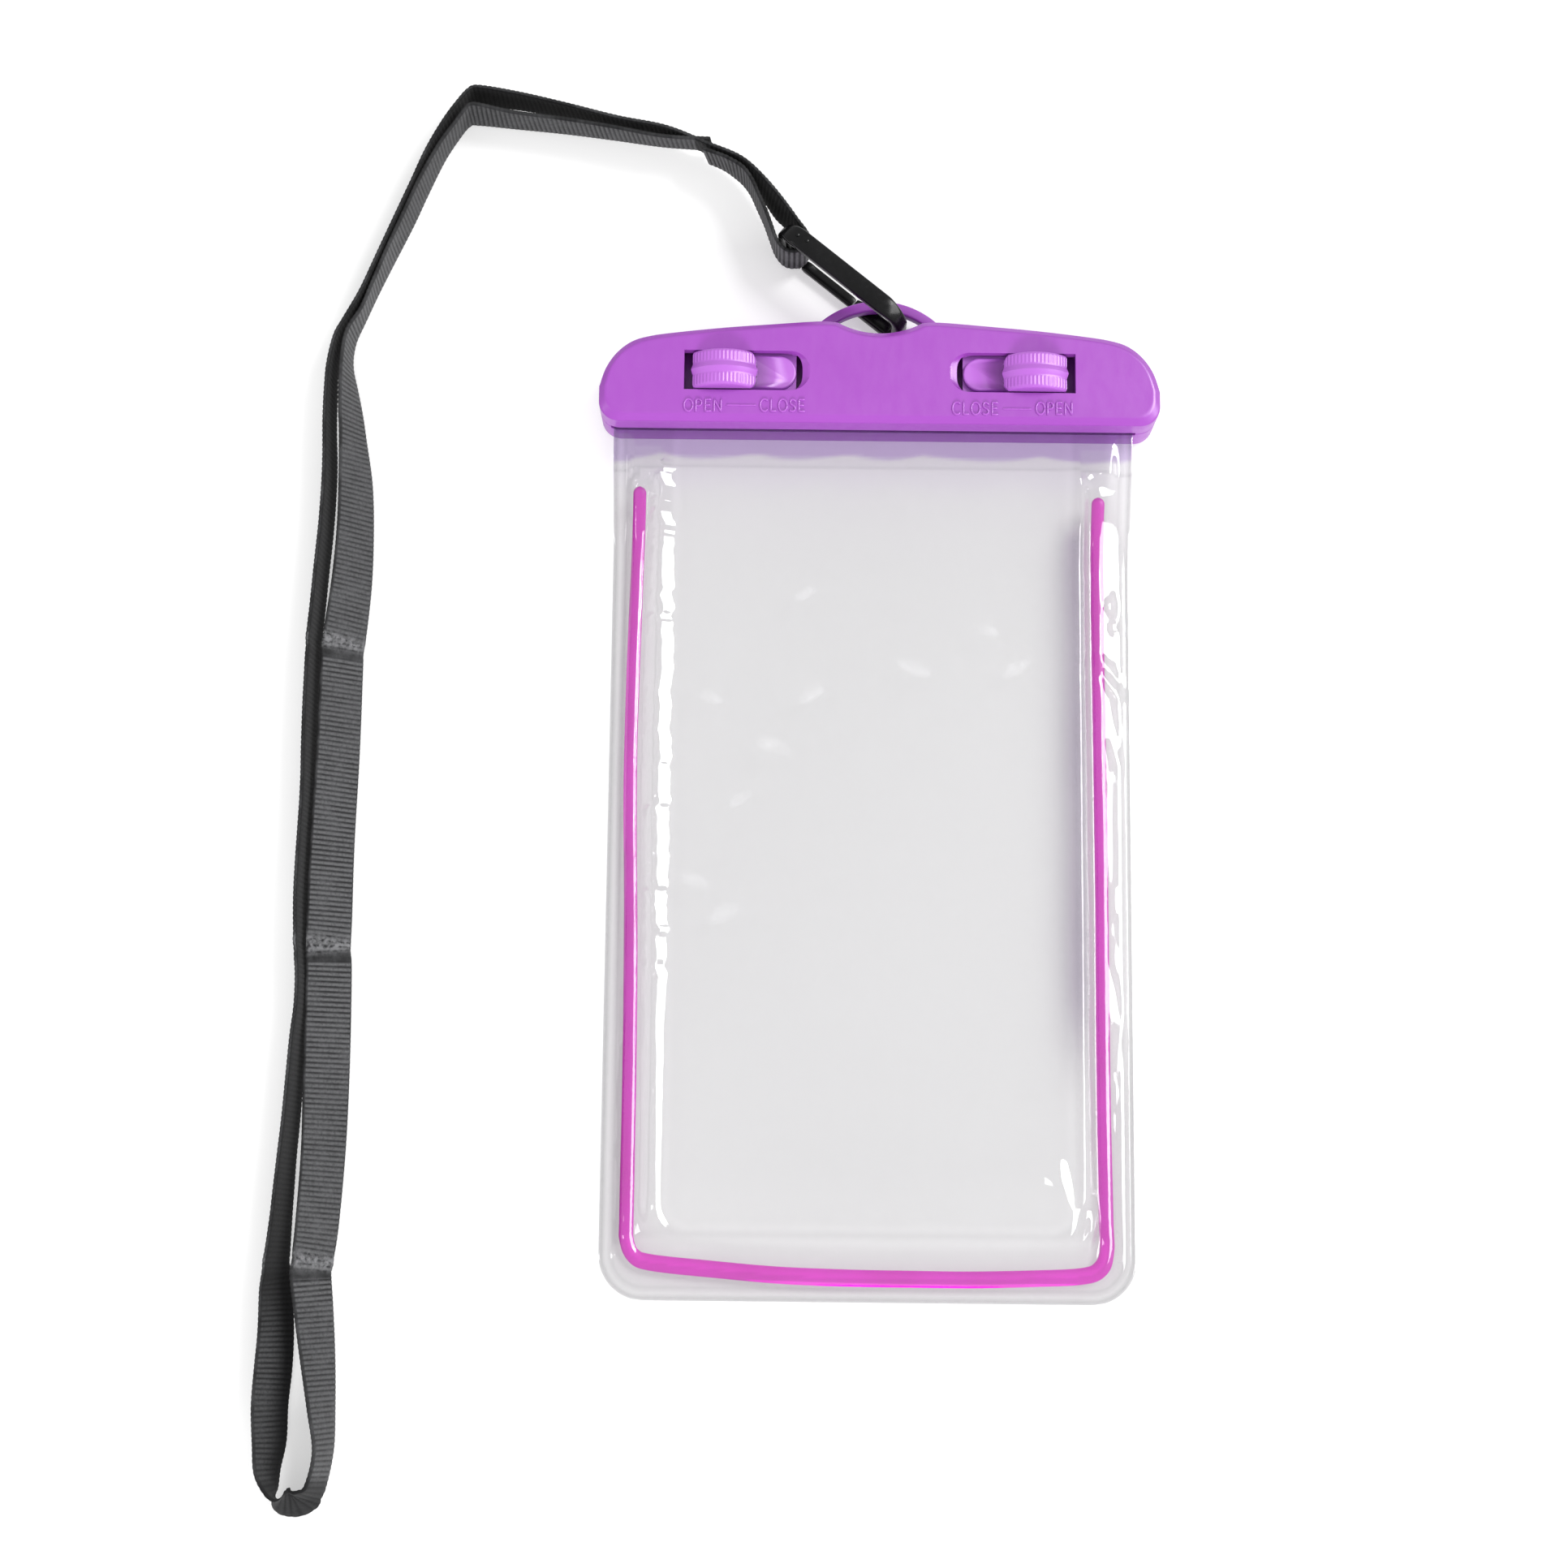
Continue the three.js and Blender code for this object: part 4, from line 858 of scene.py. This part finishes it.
def strokes(word):
    """Plain rounded capital strokes in a box one unit high."""
    g = {
        "O": (0.86, [[(0.43 + 0.40 * math.cos(a), 0.5 + 0.47 * math.sin(a)) for a in np.linspace(0, 2 * math.pi, 25)]]),
        "C": (0.82, [[(0.45 + 0.41 * math.cos(a), 0.5 + 0.47 * math.sin(a)) for a in np.linspace(math.radians(48), math.radians(312), 21)]]),
        "P": (0.68, [[(0.08, 0.03), (0.08, 0.97)],
                     [(0.08, 0.95), (0.36, 0.95)] + [(0.36 + 0.24 * math.cos(a), 0.70 + 0.25 * math.sin(a)) for a in np.linspace(math.pi / 2, -math.pi / 2, 11)] + [(0.08, 0.45)]]),
        "E": (0.64, [[(0.58, 0.95), (0.08, 0.95), (0.08, 0.05), (0.58, 0.05)], [(0.08, 0.51), (0.50, 0.51)]]),
        "N": (0.80, [[(0.08, 0.03), (0.08, 0.95), (0.70, 0.05), (0.70, 0.97)]]),
        "L": (0.62, [[(0.08, 0.97), (0.08, 0.05), (0.56, 0.05)]]),
        "S": (0.70, [[(0.60, 0.82), (0.48, 0.93), (0.32, 0.96), (0.16, 0.90), (0.10, 0.74), (0.18, 0.60), (0.36, 0.52), (0.52, 0.43), (0.60, 0.28), (0.54, 0.11), (0.36, 0.04), (0.18, 0.07), (0.07, 0.18)]]),
    }
    x, out = 0.0, []
    for ch in word:
        w, lines = g[ch]
        out += [[(x + a, b) for a, b in ln] for ln in lines]
        x += w + 0.17
    return out, x - 0.17


def ridge(points, z, half=0.21, high=0.42):
    p = np.array(points, float)
    fine = [p[0]]
    for a, b in zip(p[:-1], p[1:]):
        k = max(1, int(np.linalg.norm(b - a) / 0.35))
        fine += [a + (b - a) * i / k for i in range(1, k + 1)]
    p = np.array(fine)
    t = np.gradient(p, axis=0)
    t /= np.linalg.norm(t, axis=1)[:, None]
    head, tail = p[0] - t[0] * half * 0.8, p[-1] + t[-1] * half * 0.8
    p = np.vstack([head, p, tail])
    c = np.c_[p, np.full(len(p), z)]

    def sec(i, n):
        k = 0.35 if i in (0, n - 1) else 1.0
        return [(high * k * max(-0.5, math.sin(a)), half * k * math.cos(a)) for a in np.linspace(0, 2 * math.pi, 12, endpoint=False)]
    return loft("r", tube_rings(c, [(0, 0, 1)] * len(c), sec), sharp=None)


def legends():
    bits = []
    for word, x0, x1, y0, y1 in (("OPEN", -40.05, -32.2, 75.72, 78.45), ("CLOSE", -24.5, -15.3, 75.85, 78.6),
                                 ("CLOSE", 14.8, 24.2, 75.62, 78.4), ("OPEN", 31.9, 39.45, 75.82, 78.55)):
        lines, w = strokes(word)
        for ln in lines:
            bits.append(ridge([(x0 + (x1 - x0) * a / w, y0 + (y1 - y0) * b) for a, b in ln], FRONT_Z[1] - 0.03))
    for xa, xb, y in ((-31.3, -25.4, 77.2), (25.2, 30.9, 77.0)):
        bits.append(ridge([(xa, y), (xb, y)], FRONT_Z[1] - 0.03, half=0.17, high=0.24))
    return join("front_jaw_legends", bits)


fj = dress(front_jaw(), VIOLET)
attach(fj, "front_jaw")
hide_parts("front_jaw")
lg = dress(legends(), VIOLET_LEGEND_PAINTED_HIGHLIGHT)
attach(lg, "front_jaw")


def rear_jaw():
    z0, z1 = REAR_Z
    o = plate("rear_jaw_shell", [(0.85, z0), (0.45, z0 + 0.06), (0.18, z0 + 0.28), (0.0, z0 + 0.8), (0.0, z1 - 0.05), (0.10, z1 + 0.08)])
    # eyelet arch with rounded edges
    n = 60
    mid, half, zc, hz = 17.05, 1.15, 4.5, 1.4
    pts = [(mid * math.cos(math.radians(a)), 84.8 + mid * math.sin(math.radians(a)), zc) for a in np.linspace(31, 149, n)]
    arch = loft("arch", tube_rings(pts, [(0, 0, 1)] * n, lambda i, k: oval(hz, half, 20, 0.5)), sharp=40)
    boolean(o, arch, "UNION")
    boolean(o, film_relief("r", 6.85, 9.0), "DIFFERENCE")
    for s in (-1, 1):
        x = sorted((s * 21.0, s * 25.0))
        post = box("post", x[0], x[1], 82.6, 86.6, 6.6, 11.5)
        boolean(o, post, "UNION")
    clean(o)
    bevel(o, 0.16, 2, 40)
    shade(o, 38, weighted=True)
    return o


rj = dress(rear_jaw(), VIOLET)
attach(rj, "pouch")
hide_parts("rear_jaw")


# ------------------------------------------------------------ lock sliders
def knob(s):
    cx, cz, R, cy, hy = 31.9, 8.9, 8.3, 84.7, 3.85
    a0, a1 = math.acos((25.4 - cx) / R), math.acos((38.3 - cx) / R)
    na, nyy = 150, 60
    ys = []
    for j in range(nyy + 1):
        q = -1 + 2 * j / nyy
        ys.append(hy * math.copysign(abs(q) ** 0.92, q))
    grid = []
    for i in range(na + 1):
        a = a0 + (a1 - a0) * i / na
        row = []
        for y in ys:
            e = max(0.0, abs(y) - (hy - 0.75)) / 0.75
            r = R - 0.55 * (1 - math.sqrt(max(0.0, 1 - e * e)))
            ay = abs(y)
            r += 0.48 * max(0.0, 1 - ay / 1.05) ** 0.85
            band = float(smooth((ay - 1.25) / 0.3) * smooth((hy - 0.35 - ay) / 0.35))
            r += 0.10 * band * (0.5 + 0.5 * math.cos(2 * math.pi * (a * R) / 0.80)) - 0.04 * band
            x, z = cx + r * math.cos(a), cz + r * math.sin(a)
            # inner end drawn in towards the corners, as a barrel
            if i < 14:
                k = (1 - i / 14.0) ** 2
                x += 0.95 * k * max(0.0, (ay - 2.2) / (hy - 2.2)) ** 2
            row.append((s * x, cy + y, z))
        grid.append(row)
    verts, faces = [], []
    ny = nyy + 1
    for row in grid:
        verts += row
    for i in range(na):
        for j in range(nyy):
            faces.append((i * ny + j, i * ny + j + 1, (i + 1) * ny + j + 1, (i + 1) * ny + j))
    loop = [(0, j) for j in range(nyy)] + [(i, nyy) for i in range(na)] + [(na, j) for j in range(nyy, 0, -1)] + [(i, 0) for i in range(na, 0, -1)]
    base = len(verts)
    for i, j in loop:
        x, y, z = grid[i][j]
        verts.append((x, y, 11.95))
    m2 = len(loop)
    for k in range(m2):
        i0, j0 = loop[k]
        i1, j1 = loop[(k + 1) % m2]
        faces.append((i0 * ny + j0, i1 * ny + j1, base + (k + 1) % m2, base + k))
    faces.append(tuple(range(base, base + m2)))
    return make("k", verts, faces, 50)


def slider(s, name):
    levels = [(0.0, 11.6), (0.0, 12.85), (0.06, 13.0), (0.18, 13.13), (0.36, 13.2)]
    rings = []
    for inset, z in levels:
        rings.append([(x, y, z) for x, y in stadium(s, 17.1 + inset, 3.5 - inset * 0.5, 81.2 + inset, 88.2 - inset, 37.8)])
    tongue = loft("t", rings)
    x = sorted((s * 17.1, s * 38.3))
    o = box("f", x[0], x[1], 79.7, 89.8, 9.8, 12.0)
    boolean(o, tongue, "UNION")
    boolean(o, knob(s), "UNION")
    gx = sorted((s * 20.4, s * 36.9))
    boolean(o, box("g", gx[0], gx[1], 81.7, 87.5, 9.0, 12.1), "DIFFERENCE")
    o.name = name
    o.data.name = name
    clean(o)
    shade(o, 18)
    return o


for s, name, body, node_name in ((-1, "lock_slider_left_piece", "left_lock", "lock_slider_left"), (1, "lock_slider_right_piece", "right_lock", "lock_slider_right")):
    sl = dress(slider(s, name), VIOLET_SLIDER)
    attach(sl, body)
    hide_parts(node_name)

# ---------------------------------------------------------------------- bag
FX0, FX1, BY0, FILM_IN, FILM_T = -54.6, 52.4, -103.0, 78.2, 0.35
PX0, PX1, PY0, PY1 = -42.0, 39.5, -89.2, 64.5
BEAD = [(-49.1, 62.2), (-49.2, 57.5), (-49.3, 54), (-49.4, 50.5), (-49.5, 47), (-49.6, 42), (-50.0, 22), (-50.1, 0), (-49.4, -30), (-49.1, -57), (-49.1, -86),
        (-49.0, -91.0), (-47.6, -94.2), (-44.0, -95.6), (-31.5, -96.8), (-18.6, -97.8), (-5.8, -98.2), (7.1, -98.3), (19.9, -98.3), (32.8, -97.9),
        (41.2, -97.4), (44.8, -96.1), (46.3, -92.6), (46.2, -85), (45.9, -57), (45.9, -19), (45.7, 10), (45.5, 34), (45.5, 42), (45.5, 47), (45.5, 50.5), (45.5, 54), (45.5, 57), (45.5, 61.0)]
BEAD_LINE = catmull(BEAD, 10)


def rise(y):
    return 7.15 * smooth((np.asarray(y, float) - 47) / (Y0 - 0.4 - 47))


def fade(y):
    return 1 - smooth((np.asarray(y, float) - 62) / (Y0 - 0.6 - 62))


def rim(x, y):
    """Distance inside the bag's outline with its rounded lower corners."""
    r, cx, hw = 9.0, (FX0 + FX1) / 2, (FX1 - FX0) / 2
    dx, dy = hw - np.abs(x - cx), y - BY0
    corner = (dx < r) & (dy < r)
    return np.where(corner, r - np.hypot(r - dx, r - dy), np.minimum(dx, dy))


def panel(x, y):
    """Distance inside the window's rounded outline; below zero outside it."""
    r = 5.0
    hx, hy = (PX1 - PX0) / 2, (PY1 + 30 - PY0) / 2
    qx, qy = np.abs(x - (PX0 + PX1) / 2) - (hx - r), np.abs(y - (PY0 + hy)) - (hy - r)
    return r - (np.hypot(np.maximum(qx, 0), np.maximum(qy, 0)) + np.minimum(np.maximum(qx, qy), 0))


def bead_distance(x, y):
    """Distance to the bead's centreline, and the side: above zero towards the window."""
    shape = x.shape
    p = np.stack([x.ravel(), y.ravel()], 1)
    a, b = BEAD_LINE[:-1], BEAD_LINE[1:]
    best = np.full(len(p), 1e9)
    side = np.zeros(len(p))
    for i in range(0, len(a)):
        ab = b[i] - a[i]
        l2 = float(ab @ ab)
        if l2 < 1e-12:
            continue
        t = np.clip(((p - a[i]) @ ab) / l2, 0, 1)
        q = a[i] + t[:, None] * ab
        d = np.hypot(*(p - q).T)
        cr = ab[0] * (p[:, 1] - a[i][1]) - ab[1] * (p[:, 0] - a[i][0])
        m_ = d < best
        best[m_] = d[m_]
        side[m_] = cr[m_]
    return best.reshape(shape), np.sign(side).reshape(shape)


def wave(x, y, kx, ky, seed):
    f = np.vectorize(lambda a, b: noise.noise(Vector((a * kx, b * ky, seed))))
    return f(x, y)


def dent(x, y, cx, cy, rx, ry, ang, h, power=2.0):
    c, s_ = math.cos(ang), math.sin(ang)
    u_ = ((x - cx) * c + (y - cy) * s_) / rx
    v_ = (-(x - cx) * s_ + (y - cy) * c) / ry
    return h * np.exp(-(np.abs(u_) ** power + np.abs(v_) ** power))


def front_height(x, y):
    """Underside of the front film, above the back film's rise."""
    s = rim(x, y)
    p = panel(x, y)
    d, side = bead_distance(x, y)
    left, rightside = smooth((-10 - x) / 20), smooth((x - 10) / 20)
    wy = wave(np.zeros_like(x), y, 1.0, 0.085, 2.3)
    wy2 = wave(np.zeros_like(x), y, 1.0, 0.30, 9.1)
    # window: nearly flat, with faint broad slack
    win = 5.42 + 0.10 * wave(x, y, 0.035, 0.022, 4.4) + 0.05 * wave(x, y, 0.11, 0.07, 8.8)
    # soft tube of film between the bead and the window
    ragged = wave(np.zeros_like(x), y, 1.0, 0.42, 9.1) + 0.8 * wave(np.zeros_like(x), y, 1.0, 1.05, 4.1)
    full = smooth((y + 78) / 60)
    crest_at = -1.9 - left * (0.75 * full - 0.25 + 1.1 * ragged * full + 0.25 * wy)
    crest_h = 6.2 + 0.6 * left * full + 0.25 * rightside + 0.15 * wy
    inner = 1.5 + left * (0.1 + 1.25 * full) + 4.8 * rightside
    qq = np.clip((p - crest_at) / inner, 0, 1)
    ease = np.clip((1 - qq) * 1.08 - 0.04, 0, 1)
    top = np.where(p > crest_at, win + (crest_h - win) * (0.65 * ease + 0.35 * smooth(ease)), crest_h)
    # from the crest down to the bead's near side
    valley = 2.62
    q = (d - 1.45)
    run = np.maximum(-p + crest_at, 0)
    span = np.maximum(run + q, 0.4)
    k = np.clip(run / span, 0, 1)
    tube = crest_h + (valley - crest_h) * (0.35 * k + 0.65 * smooth(k))
    apex = 3.02 + 0.05 * wy2
    over = apex - (apex - valley) * smooth((d - 0.62) / 0.85)
    inside = np.where(d < 1.45, over, np.where(p > crest_at, top, tube))
    # outside the bead: stretched straight down to the weld
    weld = 0.42 + 0.10 * smooth((s - 0.1) / 0.4) - 0.09 * np.exp(-((s - 0.95) / 0.18) ** 2) + 0.10 * np.exp(-((s - 1.75) / 0.3) ** 2)
    run_out = np.maximum(s - 2.5, 0)
    k2 = run_out / np.maximum(run_out + np.maximum(d - 0.55, 0), 0.05)
    slope = 0.62 + (apex - 0.06 - 0.62) * k2
    outside = np.where(s < 2.5, weld + (0.62 - 0.5) * smooth((s - 1.9) / 0.6), np.where(d < 0.55, apex - 0.06 * (d / 0.55) ** 2, slope))
    z = np.where((side < 0) | (s < 2.5), outside, inside)
    # past the bead's ends, and towards the mouth
    tip = smooth((y - 62.6) / 3.0)
    plain = 0.62 + 3.6 * smooth((s - 2.5) / 2.4)
    z = z * (1 - tip) + np.where(p > crest_at, z, np.minimum(plain, 6.3)) * tip
    # wrinkles and wet-looking dents
    z = z + dent(x, y, 38.6, 59.4, 0.9, 3.6, 0.10, -0.42)
    z = z + dent(x, y, 36.2, -80.0, 2.5, 7.5, 0.18, 1.7)
    z = z + dent(x, y, 42.9, -88.4, 1.25, 4.4, -0.25, 1.7) + dent(x, y, 41.0, -88.4, 1.3, 4.4, -0.25, -0.9)
    z = z + dent(x, y, 48.1, 38.6, 1.35, 1.7, 0.0, 1.15) + dent(x, y, 48.9, 34.6, 0.9, 1.0, 0.3, -0.7)
    z = z + dent(x, y, 48.0, 25.0, 3.6, 0.8, -0.75, 0.75) + dent(x, y, 48.6, 21.5, 3.2, 0.9, -0.8, -0.75)
    z = z + dent(x, y, 48.5, 14.5, 1.2, 4.2, 0.25, 0.5) + dent(x, y, 49.0, 8.0, 0.8, 2.6, 0.3, -0.5)
    z = z + dent(x, y, 48.6, -42.0, 0.9, 4.0, 0.2, 0.45) + dent(x, y, 49.0, -52.0, 0.9, 3.4, -0.15, -0.4)
    z = z + dent(x, y, -45.6, -5.7, 1.05, 1.25, 0.0, 0.6)
    lump = wave(x, y, 0.22, 0.13, 6.6) * 0.10 * smooth((s - 2.7) / 1.5) * smooth((2.5 - p) / 2.0)
    return z + lump * np.where(d < 2.0, 0.35, 1.0)


def tints_with_painted_light(x, y, s, p, d, side):
    """What the film lets through at each crossing, with painted shade, painted highlights and a painted reflection of
    the clamp in the tint.
    """
    n1 = wave(x, y, 0.02, 0.016, 12.0)
    grey = np.full(x.shape, 0.114) + 0.010 * n1 + 0.008 * smooth((y - 20) / 50)
    border = np.exp(-((p - 1.5) / 1.3) ** 2)
    grey = grey + 0.002 * border - 0.011 * np.exp(-((p - 0.7) / 0.75) ** 2)
    zone = smooth((0.2 - p) / 1.2)
    # darker between the window and the bead; painted light: lighter along the bottom just inside the bead, against the
    # shade of the film's slope
    grey = grey + 0.022 * zone - 0.046 * smooth((-89.5 - y) / 2.0) * (side > 0)
    grey = grey + 0.075 * np.exp(-((s - 0.45) / 0.42) ** 2) + 0.030 * np.exp(-((s - 2.6) / 0.35) ** 2) - 0.020 * np.exp(-((s - 1.5) / 0.35) ** 2)
    # painted shade: darker film just outside the left bead
    grey = grey + 0.045 * np.exp(-((d - 2.2) / 0.7) ** 2) * (side < 0) * smooth((10 - x) / 30)
    # painted highlight: lighter film along the far right edge
    grey = grey - 0.035 * smooth((x - 46.5) / 1.5) * smooth((y + 70) / 30)
    # painted shade: a dark band just inside the right bead
    painted_shade_band = np.exp(-((x - 40.4) / 3.1) ** 2) * smooth((58 - y) / 8) * smooth((y + 66) / 30) * (0.75 + 0.35 * wave(x, y, 0.0, 0.03, 5.0))
    grey = grey + 0.225 * painted_shade_band * smooth((43.4 - x) / 1.2)
    # painted reflection of the violet clamp along the film's top, with a scalloped lower edge
    scallop = 72.6 - 4.6 - 1.3 * np.abs(np.sin((x + 7.0) * 0.16 + 1.3 * wave(x, y, 0.05, 0.0, 3.0)))
    painted_clamp_reflection = smooth((y - scallop) / 1.2)
    line = np.exp(-((y - 65.6) / 0.35) ** 2)
    grey = grey + 0.05 * line + 0.002 * smooth((y - 65.2) / 0.8)
    r = 1 - grey * (1.00 + 0.05 * painted_shade_band) - 0.108 * painted_clamp_reflection
    g = 1 - grey * (1.02 + 0.14 * painted_shade_band) - 0.165 * painted_clamp_reflection
    b = 1 - grey * (0.99 - 0.03 * painted_shade_band) - 0.045 * painted_clamp_reflection
    return np.stack([r, g, b], -1)


def sheet_mesh(name, zf, rows, cols, thick):
    xl, xr = -41.4, 38.8
    X, Y = [], []
    for y in rows:
        dd = y - BY0
        cut = 9.0 - math.sqrt(max(0.0, 81.0 - (9.0 - dd) ** 2)) if dd < 9.0 else 0.0
        a, b = FX0 + cut, FX1 - cut
        X.append([a + (c - FX0) * (xl - a) / (xl - FX0) if c < xl else (b - (FX1 - c) * (b - xr) / (FX1 - xr) if c > xr else c) for c in cols])
        Y.append([y] * len(cols))
    X, Y = np.array(X), np.array(Y)
    Z = zf(X, Y)
    R, C = X.shape
    s = rim(X, Y)
    round_ = thick * (0.5 - 0.5 * np.clip(s / 0.22, 0, 1))       # the cut edge is slightly rounded
    low = np.stack([X, Y, Z + round_ * 0.6], -1).reshape(-1, 3)
    high = np.stack([X, Y, Z + thick - round_ * 0.6], -1).reshape(-1, 3)
    verts = np.vstack([low, high])
    N = R * C
    i, j = np.meshgrid(np.arange(R - 1), np.arange(C - 1), indexing="ij")
    q = (i * C + j).ravel()
    topf = np.stack([q + N, q + 1 + N, q + C + 1 + N, q + C + N], 1)
    botf = np.stack([q, q + C, q + C + 1, q + 1], 1)
    faces = topf.tolist() + botf.tolist()
    for jj in range(C - 1):
        faces.append((jj, jj + 1, jj + 1 + N, jj + N))
        e = (R - 1) * C + jj
        faces.append((e + 1, e, e + N, e + 1 + N))
    for ii in range(R - 1):
        a, b = ii * C, (ii + 1) * C
        faces.append((b, a, a + N, b + N))
        a, b = ii * C + C - 1, (ii + 1) * C + C - 1
        faces.append((a, b, b + N, a + N))
    o = make(name, verts, faces, sharp=60)
    return o, X, Y, s


def spaced(*runs):
    out = []
    for a, b, step in runs:
        n = max(1, int(round((b - a) / step)))
        out += [a + (b - a) * k / n for k in range(n)]
    out.append(runs[-1][1])
    return out


def film_values(o, X, Y, s, base_haze, extra):
    p = panel(X, Y)
    d, side = bead_distance(X, Y)
    t = tints_with_painted_light(X, Y, s, p, d, side) if extra else np.stack([np.full(X.shape, 0.985)] * 3, -1) - 0.03 * np.exp(-((s - 0.6) / 0.5) ** 2)[..., None]
    t = np.clip(t, 0, 1).reshape(-1, 3)
    values(o, "tint", np.vstack([t, t]))
    h = np.full(X.shape, base_haze).ravel()
    values(o, "haze", np.r_[h, h])


cols_f = spaced((FX0, -51.5, 0.28), (-51.5, -40.0, 0.34), (-40.0, -36.0, 0.9), (-36.0, 33.0, 2.4), (33.0, 38.0, 0.8), (38.0, 52.4, 0.30))
rows_f = spaced((BY0, BY0 + 3.0, 0.3), (BY0 + 3.0, -86.0, 0.5), (-86.0, 50.0, 0.85), (50.0, FILM_IN, 0.55))
ff, X, Y, s = sheet_mesh("front_film_sheet", lambda x, y: rise(y) + 0.65 + fade(y) * (front_height(x, y) - 0.65), rows_f, cols_f, FILM_T)
film_values(ff, X, Y, s, 0.020, True)
dress(ff, FILM_FRONT)
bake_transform(ff)
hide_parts("front_film")

cols_b = spaced((FX0, -50.0, 0.5), (-50.0, 48.0, 2.5), (48.0, 52.4, 0.5))
rows_b = spaced((BY0, BY0 + 10.0, 0.5), (BY0 + 10.0, 47.0, 3.0), (47.0, FILM_IN, 0.8))
bf, X, Y, s = sheet_mesh("back_film_sheet", lambda x, y: rise(y), rows_b, cols_b, FILM_T)
film_values(bf, X, Y, s, 0.020, False)
dress(bf, FILM_BACK)
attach(bf, "pouch")
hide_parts("back_film")


def bead():
    line = catmull(BEAD, 9)
    n = len(line)
    seg = np.r_[0, np.cumsum(np.hypot(*np.diff(line, axis=0).T))]
    pts = np.c_[line, 1.65 + np.where(line[:, 1] > 47, rise(line[:, 1]), 0.0)]

    def sec(i, m_):
        e = min(seg[i], seg[-1] - seg[i])
        k = math.sqrt(max(0.02, 1 - (1 - min(1.0, e / 1.3)) ** 2))
        w = 1.36 + 0.10 * float(smooth((-20.0 - line[i][1]) / 60.0)) + 0.22 * float(smooth((-93.0 - line[i][1]) / 3.0))
        w += 0.05 * noise.noise(Vector((seg[i] * 0.07, 0.3, 5.5)))
        return oval(0.9 * k, w * k, 20, 0.9)
    o = loft("u_bead_strip", tube_rings(pts, [(0, 0, 1)] * n, sec), sharp=None)
    return dress(o, BEAD_MAT)


bd = bead()
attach(bd, "pouch")
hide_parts("u_bead")

# --------------------------------------------------------- floor and lights
floor = make("floor", [(-3000, -3000, -0.35), (3000, -3000, -0.35), (3000, 3000, -0.35), (-3000, 3000, -0.35)], [(0, 1, 2, 3)])
n = Nodes("pale_floor")
n.principled(Base_Color=(0.58, 0.58, 0.58), Roughness=0.9, Specular_IOR_Level=0.0,
             Emission_Color=(1.0, 1.0, 1.0), Emission_Strength=0.42)
dress(floor, n.mat)

world = bpy.data.worlds.new("studio")
scene.world = world
world.use_nodes = True
bg = world.node_tree.nodes["Background"]
bg.inputs["Color"].default_value = (1.0, 1.0, 1.0, 1)
bg.inputs["Strength"].default_value = 0.92


def area(name, direction, distance, size, power, diffuse=True, glossy=True):
    d = bpy.data.lights.new(name, "AREA")
    d.shape, d.size, d.size_y = "RECTANGLE", size[0], size[1]
    d.energy = power
    o = bpy.data.objects.new(name, d)
    scene.collection.objects.link(o)
    v = Vector(direction).normalized()
    o.location = v * distance
    o.rotation_mode = "QUATERNION"
    o.rotation_quaternion = v.to_track_quat("Z", "Y")
    o.visible_diffuse = diffuse
    o.visible_glossy = glossy
    return o


area("key", (0.50, 0.33, 0.80), 3.0, (0.80, 0.80), 40.0)
area("fill_front", (0.05, -0.88, 0.47), 2.4, (1.6, 0.5), 40.0, glossy=False)
area("rim_left", (-0.82, -0.12, 0.56), 1.4, (0.10, 0.8), 2.2, diffuse=False)
area("softbox_right", (0.76, 0.20, 0.60), 1.4, (1.2, 1.1), 52.0, diffuse=False)
